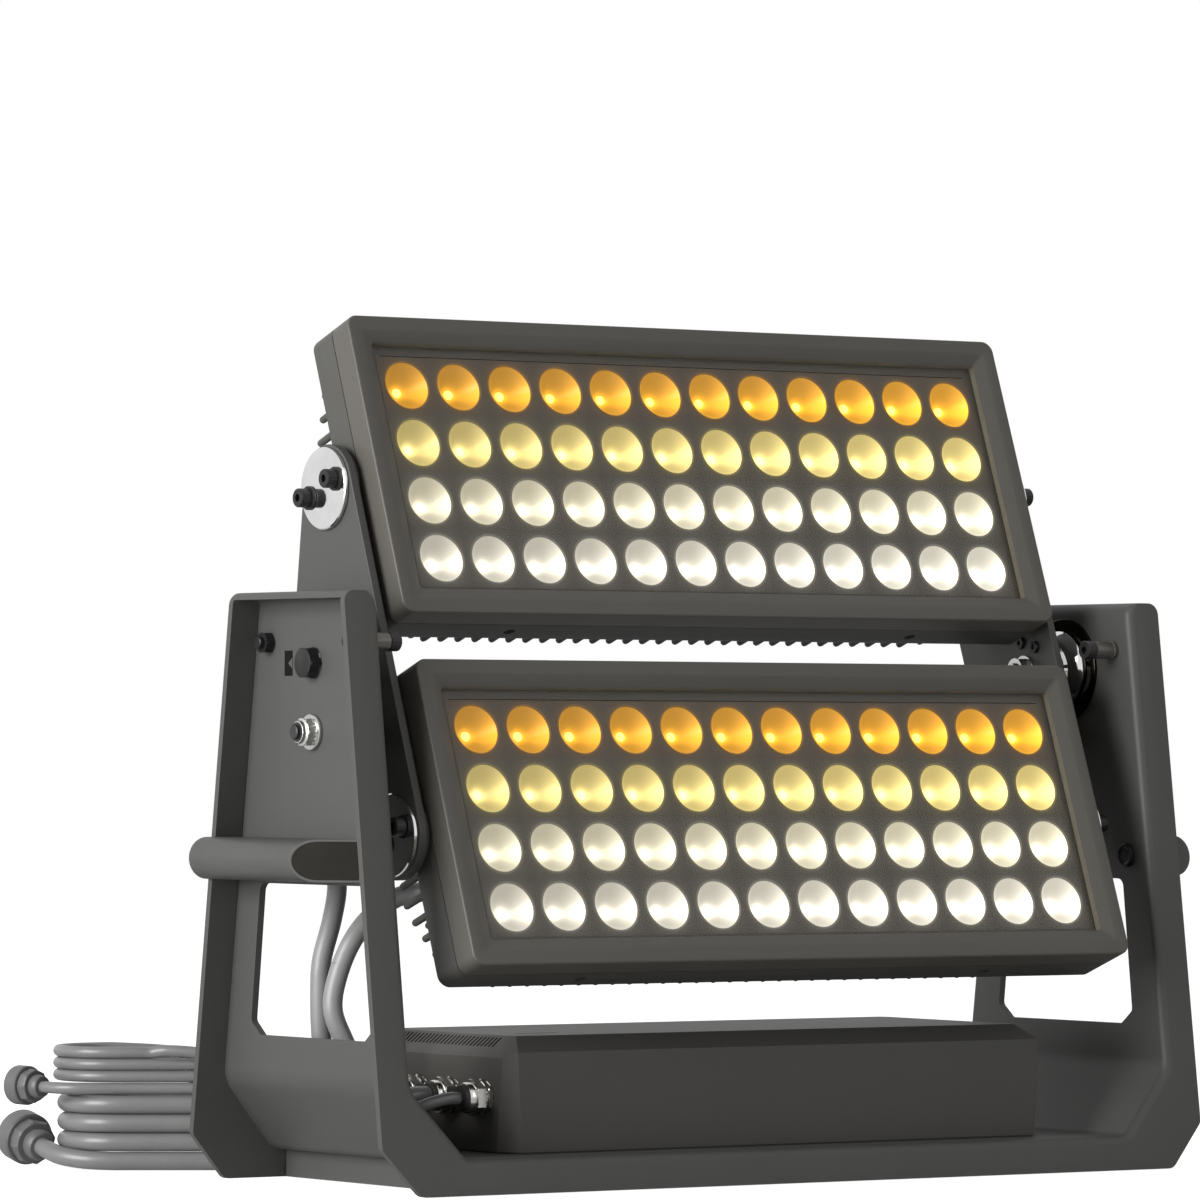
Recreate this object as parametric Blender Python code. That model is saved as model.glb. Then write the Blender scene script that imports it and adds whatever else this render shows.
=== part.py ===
"""LED wash light: two lamp heads on a pair of tilting arms, in a bent steel yoke with a driver box.

The origin is on the floor under the middle of the yoke. +X is to the right of the lamps, -Y is the
side they shine to, and +Z is up. All sizes are in metres.
"""

import math

import bmesh
import bpy
import numpy as np
from mathutils import Matrix, Vector

GAP = 0.0003
RIGHT = 1
LEFT = -1
ROUND_SEGMENTS = 20

# Yoke: a U of bent sheet whose edges are flanges turned outwards, leaning in towards the top.
SHEET = 0.005
YOKE_INNER_X = 0.3165
YOKE_OUTER_X = 0.3433
YOKE_TOP = 0.3986
YOKE_HALF_DEPTH = 0.126
YOKE_LEAN = 0.1363
YOKE_BASE_TOP = 0.0240
YOKE_BEND_RADIUS = 0.006
INNER_CHAMFER_Z = 0.070
INNER_CHAMFER_X = 0.276
OUTER_CHAMFER_Z = 0.0315
OUTER_CHAMFER_X = 0.3152
YOKE_CORNER = 0.008
WINDOW = ((0.065, 0.100), (0.077, 0.1105), (0.067, 0.197), (0.061, 0.203))

# Bars that carry the base between its two flanges.
FOOT_X = 0.2675
FOOT_WIDTH = 0.030
FOOT_HEIGHT = 0.0185
FOOT_HALF_DEPTH = 0.118

# Carrying handles, half round, one on each side, the right one turned half a turn. The left one passes
# through a notch in the rear flange, and the right one stops at the inside of the front flange.
HANDLE_Z = 0.2193
HANDLE_HALF_HEIGHT = 0.0143
HANDLE_NOSE_X = 0.358
HANDLE_END_Y = 0.0985
HANDLE_MITRE_INNER_Y = -0.063
HANDLE_MITRE_OUTER_Y = -0.028
HANDLE_BOLTS_Y = (0.072, -0.045)
HANDLE_BOLT_DEPTH = 0.333

# Main tilt axis, and what is stacked on it between the web and the arm.
ARM_AXIS_Z = 0.351
TILT = math.radians(20.41)
ARM_INNER_X = 0.2807
ARM_OUTER_X = 0.2867
HUB_RADIUS = 0.018
HUB_DISC_X = (0.305, 0.3137)
DISC_RADIUS = 0.028
FRICTION_DISC_X = (0.3140, 0.3162)
FRICTION_DISC_RADIUS = 0.037
PIVOT_BOLT_RADIUS = 0.005
PIVOT_NUT_X = 0.2705
LOCK_RADIUS = 0.0463
LOCK_BOLT_RADIUS = 0.005
STOP_BOLT_Y = 0.055
STOP_BOLT_Z = 0.365
STOP_BOLT_RADIUS = 0.004
STOP_HEAD_X = 0.290
STOP_SLEEVE_RADIUS = 0.0063

# Arms: a plate with round ends, in its own frame (across is to the rear, along is up the arm).
ARM_FRONT = -0.035
ARM_REAR = 0.067
ARM_REAR_HALF = 0.051
ARM_END_RADIUS = 0.030
ARM_MID_ACROSS = -0.005
HEAD_AXIS_ALONG = 0.1246
TILT_DOWN = math.radians(35)
TILT_UP = math.radians(25)
SLOT_EASE = math.radians(5)

# Heads: depths run to the rear from the plane of the lens rims, and the head axis is behind it.
HEAD_AXIS_DEPTH = 0.0366
HEAD_HALF_WIDTH = 0.275
HEAD_LOW = -0.1068
HEAD_HIGH = 0.1092
HEAD_CORNER = 0.0085
BEZEL_FRONT = -0.009
BEZEL_REAR = 0.012
BEZEL_BEVEL = 0.0015
BEZEL_RIM = 0.0105
BEZEL_INSET = 0.0186
GLASS_FRONT = -0.0055
GLASS_THICKNESS = 0.004
HOUSING_REAR = 0.039
HOUSING_FLOOR = 0.0226
HOUSING_ROUND = 0.002
HOUSING_WALL = 0.016
LENS_PITCH = 0.042
LENS_COLUMNS = 12
LENS_ROWS = 4
LENS_MIDDLE = -0.001
LENS_RADIUS = 0.017
CUP_BOTTOM_RADIUS = 0.005
CUP_DEPTH = 0.017
LENS_PLATE_DEPTH = 0.020
LED_BOARD = (0.0203, 0.0223)
FIN_PITCH = 0.014
FIN_COLUMNS = 38
FIN_THICKNESS = 0.005
FIN_HALF_HEIGHT = 0.0935
FIN_TIP = 0.082
FIN_CORNER = 0.298
FIN_SHORTENING = 0.6
BOSS_RADIUS = 0.021
BOSS_RING_X = (0.2779, 0.2804)
PIVOT_DISC_X = (0.2870, 0.2903)
DISC_BOLT_ACROSS = 0.0176
HEAD_GLAND_X = -0.230
HEAD_GLAND_U = -0.020
GLAND_POCKET = 0.019

# Driver box on the base.
BOX_HALF_WIDTH = 0.225
BOX_HALF_DEPTH = 0.095
BOX_TOP = 0.102
BOX_SHOULDER = 0.0918
BOX_TOP_DEPTH = 0.078
BOX_TOP_WIDTH = 0.212
BOX_WALL = 0.003
BOX_CORNER_LOW = (0.0096, 0.0165)
BOX_CORNER_SHOULDER = (0.0059, 0.0105)
BOX_CORNER_TOP = (0.0025, 0.0065)
CORNER_DRAW_IN = 0.4
BOX_END_DROP = 0.004
TRAY_TOP = 0.0283
TRAY_INSET = 0.0063
GASKET_TOP = 0.0254
GASKET_WIDTH = 0.006
GLAND_Z = 0.061
DATA_GLAND_Y = -0.063
POWER_GLAND_Y = -0.024
LOWER_LEAD_Y = 0.015
UPPER_LEAD_Y = 0.054
GLAND_TIP_X = -0.245
GLAND_THREAD_RADIUS = 0.0075

# Cables. The hank lies behind the left leg: its near runs go along HANK_SIDE from HANK_POINT.
POWER_DIAMETER = 0.0125
DATA_DIAMETER = 0.0077
LEAD_DIAMETER = 0.0135
LEAD_STRAIGHT = 0.006
HANK_POINT = Vector((-0.3204, 0.2384, 0.0))
HANK_SIDE = Vector((0.853, -0.522, 0.0)).normalized()
HANK_AWAY = Vector((-HANK_SIDE.y, HANK_SIDE.x, 0.0))
HANK_FOLD_RADIUS = 0.039
HANK_RIGHT = 0.1838
POWER_HANK_LEFT = -0.0062
DATA_HANK_LEFT = -0.0115
HANK_LEVELS = 4
POWER_LOWEST = 0.0064
POWER_STEP = 0.0130
DATA_STEP = 0.0083
DATA_SAG = 0.013
HANK_CLEARANCE = 0.0012
POWER_HANK_START = 0.045
DATA_HANK_START = 0.006
HANK_END = 0.012

# Connectors on the far ends of the two cables.
POWER_PLUG_RADIUS = 0.0183
DATA_PLUG_RADIUS = 0.0137


def clear_scene():
    """Empties the scene."""
    for item in list(bpy.data.objects):
        bpy.data.objects.remove(item, do_unlink=True)


def make_material(name, colour, roughness, metallic=0.0):
    """A plain finish."""
    material = bpy.data.materials.new(name)
    material.use_nodes = True
    shader = material.node_tree.nodes["Principled BSDF"]
    shader.inputs["Base Color"].default_value = (*colour, 1.0)
    shader.inputs["Roughness"].default_value = roughness
    shader.inputs["Metallic"].default_value = metallic
    material.diffuse_color = (*colour, 1.0)
    return material


def make_axis(name, place, turn=0.0, parent=None):
    """An empty on a joint's axis, turned about X."""
    empty = bpy.data.objects.new(name, None)
    bpy.context.scene.collection.objects.link(empty)
    empty.location = place
    empty.rotation_euler.x = turn
    empty.parent = parent
    return empty


def make_object(name, mesh_builder, material, parent=None, smooth=True):
    """Turns a bmesh into a named object."""
    mesh = bpy.data.meshes.new(name)
    mesh_builder.to_mesh(mesh)
    mesh_builder.free()
    if smooth:
        mesh.shade_smooth()
        mesh.set_sharp_from_angle(angle=math.radians(35))
    mesh.materials.append(material)
    item = bpy.data.objects.new(name, mesh)
    bpy.context.scene.collection.objects.link(item)
    item.parent = parent
    return item


def make_helper(name, mesh_builder, parent=None):
    """A solid that only cuts or joins another, and isn't part of the lamp itself."""
    mesh = bpy.data.meshes.new(name)
    mesh_builder.to_mesh(mesh)
    mesh_builder.free()
    item = bpy.data.objects.new(name, mesh)
    bpy.context.scene.collection.objects.link(item)
    item.parent = parent
    item.hide_render = True
    item.display_type = "WIRE"
    return item


def combine(item, helper, operation):
    """Cuts the helper from the item, or joins it on."""
    modifier = item.modifiers.new(helper.name, "BOOLEAN")
    modifier.operation = operation
    modifier.solver = "EXACT"
    modifier.object = helper


def loft(rings, ring_closed=False, target=None):
    """Skins a row of point rings, with flat ends unless the row closes on itself."""
    builder = target or bmesh.new()
    loops = [[builder.verts.new(point) for point in ring] for ring in rings]
    faces = []
    followers = loops[1:] + loops[:1] if ring_closed else loops[1:]
    for low, high in zip(loops, followers):
        for index in range(len(low)):
            after = (index + 1) % len(low)
            faces.append(builder.faces.new((low[index], low[after], high[after], high[index])))
    if not ring_closed:
        faces.append(builder.faces.new(loops[0]))
        faces.append(builder.faces.new(loops[-1]))
    bmesh.ops.recalc_face_normals(builder, faces=faces)
    return builder


def block(low, high, target=None):
    """A box between two corners."""
    (x0, y0, z0), (x1, y1, z1) = low, high
    rings = [[(x0, y0, z), (x1, y0, z), (x1, y1, z), (x0, y1, z)] for z in (z0, z1)]
    return loft(rings, target=target)


def polygon_radius(corner, sides, angle):
    """The radius of a regular polygon at an angle, or of a circle where it has no sides."""
    if not sides:
        return corner
    part = 2 * math.pi / sides
    return corner * math.cos(part / 2) / math.cos(angle % part - part / 2)


def turned(profile, place=(0.0, 0.0, 0.0), axis=(1.0, 0.0, 0.0), segments=12, hollow=False,
           target=None):
    """A turned piece: (distance along the axis, radius, sides or 0) for each ring."""
    turn = Vector((1.0, 0.0, 0.0)).rotation_difference(Vector(axis)).to_matrix().to_4x4()
    matrix = Matrix.Translation(place) @ turn
    rings = []
    for along, radius, sides in profile:
        ring = []
        for step in range(segments):
            angle = 2 * math.pi * step / segments
            reach = polygon_radius(radius, sides, angle)
            ring.append(matrix @ Vector((along, reach * math.cos(angle), reach * math.sin(angle))))
        rings.append(ring)
    return loft(rings, ring_closed=hollow, target=target)


def rod(x0, x1, y, z, radius, segments=12, target=None):
    """A round bar along X."""
    return turned([(x0, radius, 0), (x1, radius, 0)], (0.0, y, z), segments=segments, target=target)


def arc_points(centre, radius, start, end, steps):
    """Points on an arc, both ends included."""
    points = []
    for step in range(steps + 1):
        angle = start + (end - start) * step / steps
        points.append((centre[0] + radius * math.cos(angle), centre[1] + radius * math.sin(angle)))
    return points


def rounded_rectangle(half_width, low, high, radius, steps=3):
    """The outline of a rectangle with round corners."""
    points = []
    right = half_width - radius
    corners = ((right, high - radius), (-right, high - radius), (-right, low + radius), (right, low + radius))
    for index, centre in enumerate(corners):
        start = index * math.pi / 2
        points += arc_points(centre, radius, start, start + math.pi / 2, steps)
    return points


def yoke_half_depth(z):
    """Half the yoke's depth at a height."""
    return YOKE_HALF_DEPTH - YOKE_LEAN * z


def yoke_inner_path(offset):
    """The inside line of the U from the left top to the right top, moved outwards by an offset."""
    slope = math.atan2(YOKE_INNER_X - INNER_CHAMFER_X, INNER_CHAMFER_Z - YOKE_BASE_TOP)
    bend_z = INNER_CHAMFER_Z - offset * math.tan(slope / 2)
    base_x = INNER_CHAMFER_X + offset * math.tan((math.pi / 2 - slope) / 2)
    right = [(base_x, YOKE_BASE_TOP - offset), (YOKE_INNER_X + offset, bend_z)]
    return [(-x, z) for x, z in reversed(right)] + right


def yoke_outline(offset):
    """The front view of the U, with its inside line moved outwards by an offset."""
    path = yoke_inner_path(offset)
    inside = YOKE_INNER_X + offset
    corner = (YOKE_OUTER_X - YOKE_CORNER, YOKE_TOP - YOKE_CORNER)
    right = arc_points(corner, YOKE_CORNER, math.pi / 2, 0.0, 2)
    right += [(YOKE_OUTER_X, OUTER_CHAMFER_Z), (OUTER_CHAMFER_X, 0.0)]
    left = [(-x, z) for x, z in reversed(right)]
    return [(-inside, YOKE_TOP)] + path + [(inside, YOKE_TOP)] + right + left


def leaning_ring(outline, side, depth):
    """A ring of the outline on a leaning flange, a depth behind its outer face."""
    return [(x, side * (yoke_half_depth(z) - depth), z) for x, z in outline]


def handle_outline(grow=0.0):
    """The half-round section of the handle on the left, from its flat side."""
    flat = YOKE_INNER_X + SHEET + GAP - grow
    radius = HANDLE_HALF_HEIGHT + grow
    centre = HANDLE_NOSE_X - HANDLE_HALF_HEIGHT
    points = [(-x, z) for x, z in arc_points((centre, HANDLE_Z), radius, -math.pi / 2, math.pi / 2, 8)]
    return [(-flat, HANDLE_Z - radius)] + points + [(-flat, HANDLE_Z + radius)]


def yoke_bracket(material):
    """The bent sheet U with its windows, bolt holes and the notches that the handles pass."""
    bends = [math.radians(angle) for angle in (0, 45, 90)]
    rings = []
    for angle in bends:
        offset = YOKE_BEND_RADIUS * (1 - math.sin(angle))
        depth = YOKE_BEND_RADIUS * (1 - math.cos(angle))
        rings.append(leaning_ring(yoke_outline(offset), -1, depth))
    for angle in reversed(bends):
        offset = YOKE_BEND_RADIUS * (1 - math.sin(angle))
        depth = YOKE_BEND_RADIUS * (1 - math.cos(angle))
        rings.append(leaning_ring(yoke_outline(offset), 1, depth))
    yoke = make_object("yoke_bracket", loft(rings), material)

    beyond = YOKE_OUTER_X + 0.04
    under = -0.04
    inside = YOKE_INNER_X + SHEET
    shelf = YOKE_TOP - SHEET
    void = [(-inside, shelf)] + yoke_inner_path(SHEET) + [(inside, shelf), (beyond, shelf), (beyond, under)]
    void += [(-beyond, under), (-beyond, shelf)]
    channel = loft([leaning_ring(void, -1, SHEET), leaning_ring(void, 1, SHEET)])
    combine(yoke, make_helper("yoke_channel_cut", channel), "DIFFERENCE")

    holes = bmesh.new()
    reach = (YOKE_INNER_X - 0.012, YOKE_INNER_X + SHEET + 0.012)
    for side in (LEFT, RIGHT):
        x0, x1 = side * reach[0], side * reach[1]
        window = [(-y, z) for y, z in WINDOW] + [(y, z) for y, z in reversed(WINDOW)]
        loft([[(x, y, z) for y, z in window] for x in (x0, x1)], target=holes)
        rod(x0, x1, 0.0, ARM_AXIS_Z, PIVOT_BOLT_RADIUS + GAP, target=holes)
        rod(x0, x1, 0.0, ARM_AXIS_Z - LOCK_RADIUS, LOCK_BOLT_RADIUS + GAP, target=holes)
        for y in (-STOP_BOLT_Y, STOP_BOLT_Y):
            rod(x0, x1, y, STOP_BOLT_Z, STOP_BOLT_RADIUS + GAP, target=holes)
        for y in HANDLE_BOLTS_Y:
            rod(x0, x1, -side * y, HANDLE_Z, STOP_BOLT_RADIUS + GAP, target=holes)
    ends = (HANDLE_END_Y - 0.020, HANDLE_END_Y + 0.012)
    loft([[(x, y, z) for x, z in handle_outline(grow=GAP)] for y in ends], target=holes)
    combine(yoke, make_helper("yoke_holes_cut", holes), "DIFFERENCE")


def foot_bars(material):
    """The two bars under the base."""
    top = YOKE_BASE_TOP - SHEET - GAP
    for name, side in (("left", LEFT), ("right", RIGHT)):
        x0, x1 = sorted((side * FOOT_X, side * (FOOT_X - FOOT_WIDTH)))
        solid = block((x0, -FOOT_HALF_DEPTH, top - FOOT_HEIGHT), (x1, FOOT_HALF_DEPTH, top))
        make_object("foot_bar_" + name, solid, material, smooth=False)


def handle_end(side, z):
    """How far from the middle the square end of a handle is, at a height."""
    if side == LEFT:
        return HANDLE_END_Y
    return yoke_half_depth(z) - SHEET - GAP


def handles(material, bolt_material):
    """The two half-round handles, each held by two bolts through the web."""
    flat = YOKE_INNER_X + SHEET + GAP
    mitre = (HANDLE_MITRE_OUTER_Y - HANDLE_MITRE_INNER_Y) / (HANDLE_NOSE_X - flat)
    for name, side in (("left", LEFT), ("right", RIGHT)):
        front, rear = [], []
        for x, z in handle_outline():
            front.append((-side * x, -side * (HANDLE_MITRE_INNER_Y + mitre * (-x - flat)), z))
            rear.append((-side * x, -side * handle_end(side, z), z))
        handle = make_object("handle_" + name, loft([front, rear]), material)
        holes = bmesh.new()
        for y in HANDLE_BOLTS_Y:
            rod(side * (flat - 0.005), side * HANDLE_BOLT_DEPTH, -side * y, HANDLE_Z,
                STOP_BOLT_RADIUS + GAP, target=holes)
        combine(handle, make_helper("handle_holes_cut_" + name, holes), "DIFFERENCE")
        for end, y in zip(("a", "b"), HANDLE_BOLTS_Y):
            head = YOKE_INNER_X - GAP
            profile = [(head - 0.0030, 0.0078, 0), (head - 0.0024, 0.0084, 0), (head, 0.0084, 0),
                       (head, STOP_BOLT_RADIUS, 0), (HANDLE_BOLT_DEPTH - 0.001, STOP_BOLT_RADIUS, 0)]
            solid = turned([(side * x, r, n) for x, r, n in profile], (0.0, -side * y, HANDLE_Z))
            make_object(f"handle_bolt_{name}_{end}", solid, bolt_material)


def yoke_bolts(black, steel, dark):
    """Pivot, lock and stop bolts in each web, and the friction disc inside it."""
    web = YOKE_INNER_X + SHEET + GAP
    for name, side in (("left", LEFT), ("right", RIGHT)):
        shank = PIVOT_BOLT_RADIUS
        nut = ARM_INNER_X - GAP
        pivot = [(PIVOT_NUT_X - 0.0025, shank, 0), (PIVOT_NUT_X, shank, 0), (PIVOT_NUT_X, 0.0092, 6),
                 (nut - 0.002, 0.0092, 6), (nut - 0.002, 0.0105, 0), (nut, 0.0105, 0), (nut, shank, 0),
                 (web, shank, 0), (web, 0.0113, 6), (web + 0.0075, 0.0113, 6), (web + 0.0085, 0.0095, 0)]
        solid = turned([(side * x, r, n) for x, r, n in pivot], (0.0, 0.0, ARM_AXIS_Z))
        make_object("pivot_bolt_" + name, solid, black)

        shank = LOCK_BOLT_RADIUS
        spacer = (ARM_OUTER_X + GAP, HUB_DISC_X[1])
        lock = [(nut - 0.0024, 0.0085, 0), (nut, 0.0085, 0), (nut, shank, 0), (spacer[0], shank, 0),
                (spacer[0], 0.009, 0), (spacer[1], 0.009, 0), (spacer[1], shank, 0), (web, shank, 0),
                (web, 0.012, 0), (web + 0.0024, 0.012, 0), (web + 0.0024, 0.0100, 6),
                (web + 0.0090, 0.0100, 6), (web + 0.0120, 0.0075, 0), (web + 0.0120, shank, 0),
                (web + 0.0150, shank, 0)]
        solid = turned([(side * x, r, n) for x, r, n in lock], (0.0, 0.0, ARM_AXIS_Z - LOCK_RADIUS))
        make_object("lock_bolt_" + name, solid, steel)

        shank = STOP_BOLT_RADIUS
        stop = [(STOP_HEAD_X, 0.0060, 0), (STOP_HEAD_X + 0.0005, 0.0065, 0), (STOP_HEAD_X + 0.008, 0.0065, 0),
                (STOP_HEAD_X + 0.008, STOP_SLEEVE_RADIUS, 0), (YOKE_INNER_X - GAP, STOP_SLEEVE_RADIUS, 0),
                (YOKE_INNER_X - GAP, shank, 0), (web, shank, 0), (web, 0.0075, 6), (web + 0.0065, 0.0075, 6),
                (web + 0.0065, shank, 0), (web + 0.0100, shank, 0)]
        for end, y in (("front", -STOP_BOLT_Y), ("rear", STOP_BOLT_Y)):
            solid = turned([(side * x, r, n) for x, r, n in stop], (0.0, y, STOP_BOLT_Z))
            make_object(f"stop_bolt_{name}_{end}", solid, black)

        hole = PIVOT_BOLT_RADIUS + GAP
        x0, x1 = FRICTION_DISC_X
        ring = [(x0, hole, 0), (x1, hole, 0), (x1, FRICTION_DISC_RADIUS, 0), (x0, FRICTION_DISC_RADIUS, 0)]
        solid = turned([(side * x, r, n) for x, r, n in ring], (0.0, 0.0, ARM_AXIS_Z),
                       segments=ROUND_SEGMENTS, hollow=True)
        make_object("friction_disc_" + name, solid, dark)


def arm_outline():
    """The arm plate in (across, along), with round ends that meet a straight front edge."""
    top = (ARM_MID_ACROSS, HEAD_AXIS_ALONG)
    shoulder = (ARM_REAR, ARM_REAR_HALF)
    reach = math.hypot(shoulder[0] - top[0], shoulder[1] - top[1])
    towards = math.atan2(shoulder[1] - top[1], shoulder[0] - top[0])
    tangent = towards + math.acos(ARM_END_RADIUS / reach)
    upper = arc_points(top, ARM_END_RADIUS, math.pi, tangent, 8)
    lower = [(across, -along) for across, along in reversed(upper)]
    return upper + [shoulder, (ARM_REAR, -ARM_REAR_HALF)] + lower


def lock_slot_outline():
    """The curved slot that the lock bolt rides in, in the arm's (across, along)."""
    rest = -math.pi / 2 + TILT
    start = rest - TILT_DOWN - SLOT_EASE
    end = rest + TILT_UP + SLOT_EASE
    half = LOCK_BOLT_RADIUS + GAP
    near = arc_points((0.0, 0.0), LOCK_RADIUS - half, end, start, 10)
    far = arc_points((0.0, 0.0), LOCK_RADIUS + half, start, end, 10)
    round_start = (LOCK_RADIUS * math.cos(start), LOCK_RADIUS * math.sin(start))
    round_end = (LOCK_RADIUS * math.cos(end), LOCK_RADIUS * math.sin(end))
    cap_start = arc_points(round_start, half, start - math.pi, start, 4)[1:-1]
    cap_end = arc_points(round_end, half, end, end + math.pi, 4)[1:-1]
    return near + cap_start + far + cap_end


def arms(axis, plate_material, chrome):
    """The two arm plates and the hubs that carry them on the main axis."""
    for name, side in (("left", LEFT), ("right", RIGHT)):
        x0, x1 = side * ARM_INNER_X, side * ARM_OUTER_X
        plate = loft([[(x, across, along) for across, along in arm_outline()] for x in (x0, x1)])
        arm = make_object("arm_" + name, plate, plate_material, axis)
        holes = bmesh.new()
        c0, c1 = side * (ARM_INNER_X - 0.01), side * (ARM_OUTER_X + 0.01)
        rod(c0, c1, 0.0, 0.0, PIVOT_BOLT_RADIUS + GAP, target=holes)
        for along in (-HEAD_AXIS_ALONG, HEAD_AXIS_ALONG):
            rod(c0, c1, ARM_MID_ACROSS, along, BOSS_RADIUS + GAP, segments=ROUND_SEGMENTS, target=holes)
        loft([[(x, across, along) for across, along in lock_slot_outline()] for x in (c0, c1)], target=holes)
        combine(arm, make_helper("arm_holes_cut_" + name, holes, axis), "DIFFERENCE")

        hole = PIVOT_BOLT_RADIUS + GAP
        inner = ARM_OUTER_X + GAP
        d0, d1 = HUB_DISC_X
        profile = [(inner, hole, 0), (d1, hole, 0), (d1, DISC_RADIUS - 0.001, 0), (d1 - 0.001, DISC_RADIUS, 0),
                   (d0 + 0.001, DISC_RADIUS, 0), (d0, DISC_RADIUS - 0.001, 0), (d0, HUB_RADIUS, 0),
                   (inner, HUB_RADIUS, 0)]
        hub = turned([(side * x, r, n) for x, r, n in profile], segments=ROUND_SEGMENTS, hollow=True)
        make_object("pivot_hub_" + name, hub, chrome, axis)


def head_ring(inset, depth, radius=None, inner=False):
    """A ring of the head's outline, drawn in by an inset, at a depth behind the lens plane."""
    corner = max(HEAD_CORNER - inset, 0.003) if radius is None else radius
    outline = rounded_rectangle(HEAD_HALF_WIDTH - inset, HEAD_LOW + inset, HEAD_HIGH - inset, corner)
    return [(x, depth - HEAD_AXIS_DEPTH, u) for x, u in outline]


def bezel(name, axis, material):
    """The front frame: a flat rim, then a slope down to the glass."""
    profile = [(0.0, BEZEL_REAR), (0.0, BEZEL_FRONT + BEZEL_BEVEL),
               (0.3 * BEZEL_BEVEL, BEZEL_FRONT + 0.3 * BEZEL_BEVEL), (BEZEL_BEVEL, BEZEL_FRONT),
               (BEZEL_RIM, BEZEL_FRONT), (BEZEL_INSET, GLASS_FRONT), (BEZEL_INSET, BEZEL_REAR)]
    rings = [head_ring(inset, depth) for inset, depth in profile]
    make_object(name + "_bezel", loft(rings, ring_closed=True), material, axis)


def front_glass(name, axis, material):
    """The flat cover glass inside the frame."""
    inset = BEZEL_INSET + GAP
    rings = [head_ring(inset, depth) for depth in (GLASS_FRONT, GLASS_FRONT + GLASS_THICKNESS)]
    make_object(name + "_glass", loft(rings), material, axis)


def lens_plate(name, axis, material):
    """The reflector plate: a grid of square cells, each with one tapered cup."""
    sides = 6
    half = LENS_PITCH / 2
    builder = bmesh.new()
    known = {}

    def corner(x, depth, u):
        key = (round(x, 6), round(depth, 6), round(u, 6))
        if key not in known:
            known[key] = builder.verts.new((x, depth - HEAD_AXIS_DEPTH, u))
        return known[key]

    for column in range(LENS_COLUMNS):
        for row in range(LENS_ROWS):
            x = (column - (LENS_COLUMNS - 1) / 2) * LENS_PITCH
            u = (row - (LENS_ROWS - 1) / 2) * LENS_PITCH + LENS_MIDDLE
            rim, floor = [], []
            for step in range(sides):
                angle = 2 * math.pi * (step + 0.5) / sides
                way = (math.cos(angle), math.sin(angle))
                rim.append(corner(x + LENS_RADIUS * way[0], 0.0, u + LENS_RADIUS * way[1]))
                floor.append(corner(x + CUP_BOTTOM_RADIUS * way[0], CUP_DEPTH, u + CUP_BOTTOM_RADIUS * way[1]))
            corners = [corner(x + sx * half, 0.0, u + su * half)
                       for sx, su in ((1, 1), (-1, 1), (-1, -1), (1, -1))]
            for step in range(sides):
                after = (step + 1) % sides
                quarter = ((step + 1) * 4 // sides) % 4
                builder.faces.new((rim[step], rim[after], corners[step * 4 // sides]))
                if quarter != step * 4 // sides:
                    builder.faces.new((rim[after], corners[quarter], corners[step * 4 // sides]))
                builder.faces.new((rim[after], rim[step], floor[step], floor[after]))
            builder.faces.new(floor)
    edge = [item for item in builder.edges if item.is_boundary]
    walls = bmesh.ops.extrude_edge_only(builder, edges=edge)
    moved = [item for item in walls["geom"] if isinstance(item, bmesh.types.BMVert)]
    for vertex in moved:
        vertex.co.y += LENS_PLATE_DEPTH
    back = [item for item in builder.edges if item.is_boundary]
    bmesh.ops.contextual_create(builder, geom=back)
    bmesh.ops.recalc_face_normals(builder, faces=builder.faces)
    make_object(name + "_lens_plate", builder, material, axis)


def led_board(name, axis, material):
    """The board that the light emitters are soldered on, behind the reflector cups."""
    half_x = LENS_COLUMNS * LENS_PITCH / 2
    half_u = LENS_ROWS * LENS_PITCH / 2
    y0, y1 = (depth - HEAD_AXIS_DEPTH for depth in LED_BOARD)
    solid = block((-half_x, y0, LENS_MIDDLE - half_u), (half_x, y1, LENS_MIDDLE + half_u))
    make_object(name + "_led_board", solid, material, axis, smooth=False)


def fin_depth(x, u):
    """How far behind the lens plane a cooling fin reaches at a place on the head's back."""
    return FIN_TIP - FIN_SHORTENING * max(0.0, abs(x) + abs(u) - FIN_CORNER)


def fin_plate(x, low, high, target):
    """One stretch of a cooling fin, whose tip falls away towards the head's corners."""
    root = HOUSING_REAR - 0.001 - HEAD_AXIS_DEPTH
    turn = max(0.0, FIN_CORNER - abs(x))
    levels = sorted({low, high} | {level for level in (-turn, turn) if low < level < high})
    tips = [(fin_depth(x, level) - HEAD_AXIS_DEPTH, level) for level in levels]
    outline = [(root, low)] + tips + [(root, high)]
    half = FIN_THICKNESS / 2
    loft([[(side, y, u) for y, u in outline] for side in (x - half, x + half)], target=target)


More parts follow.
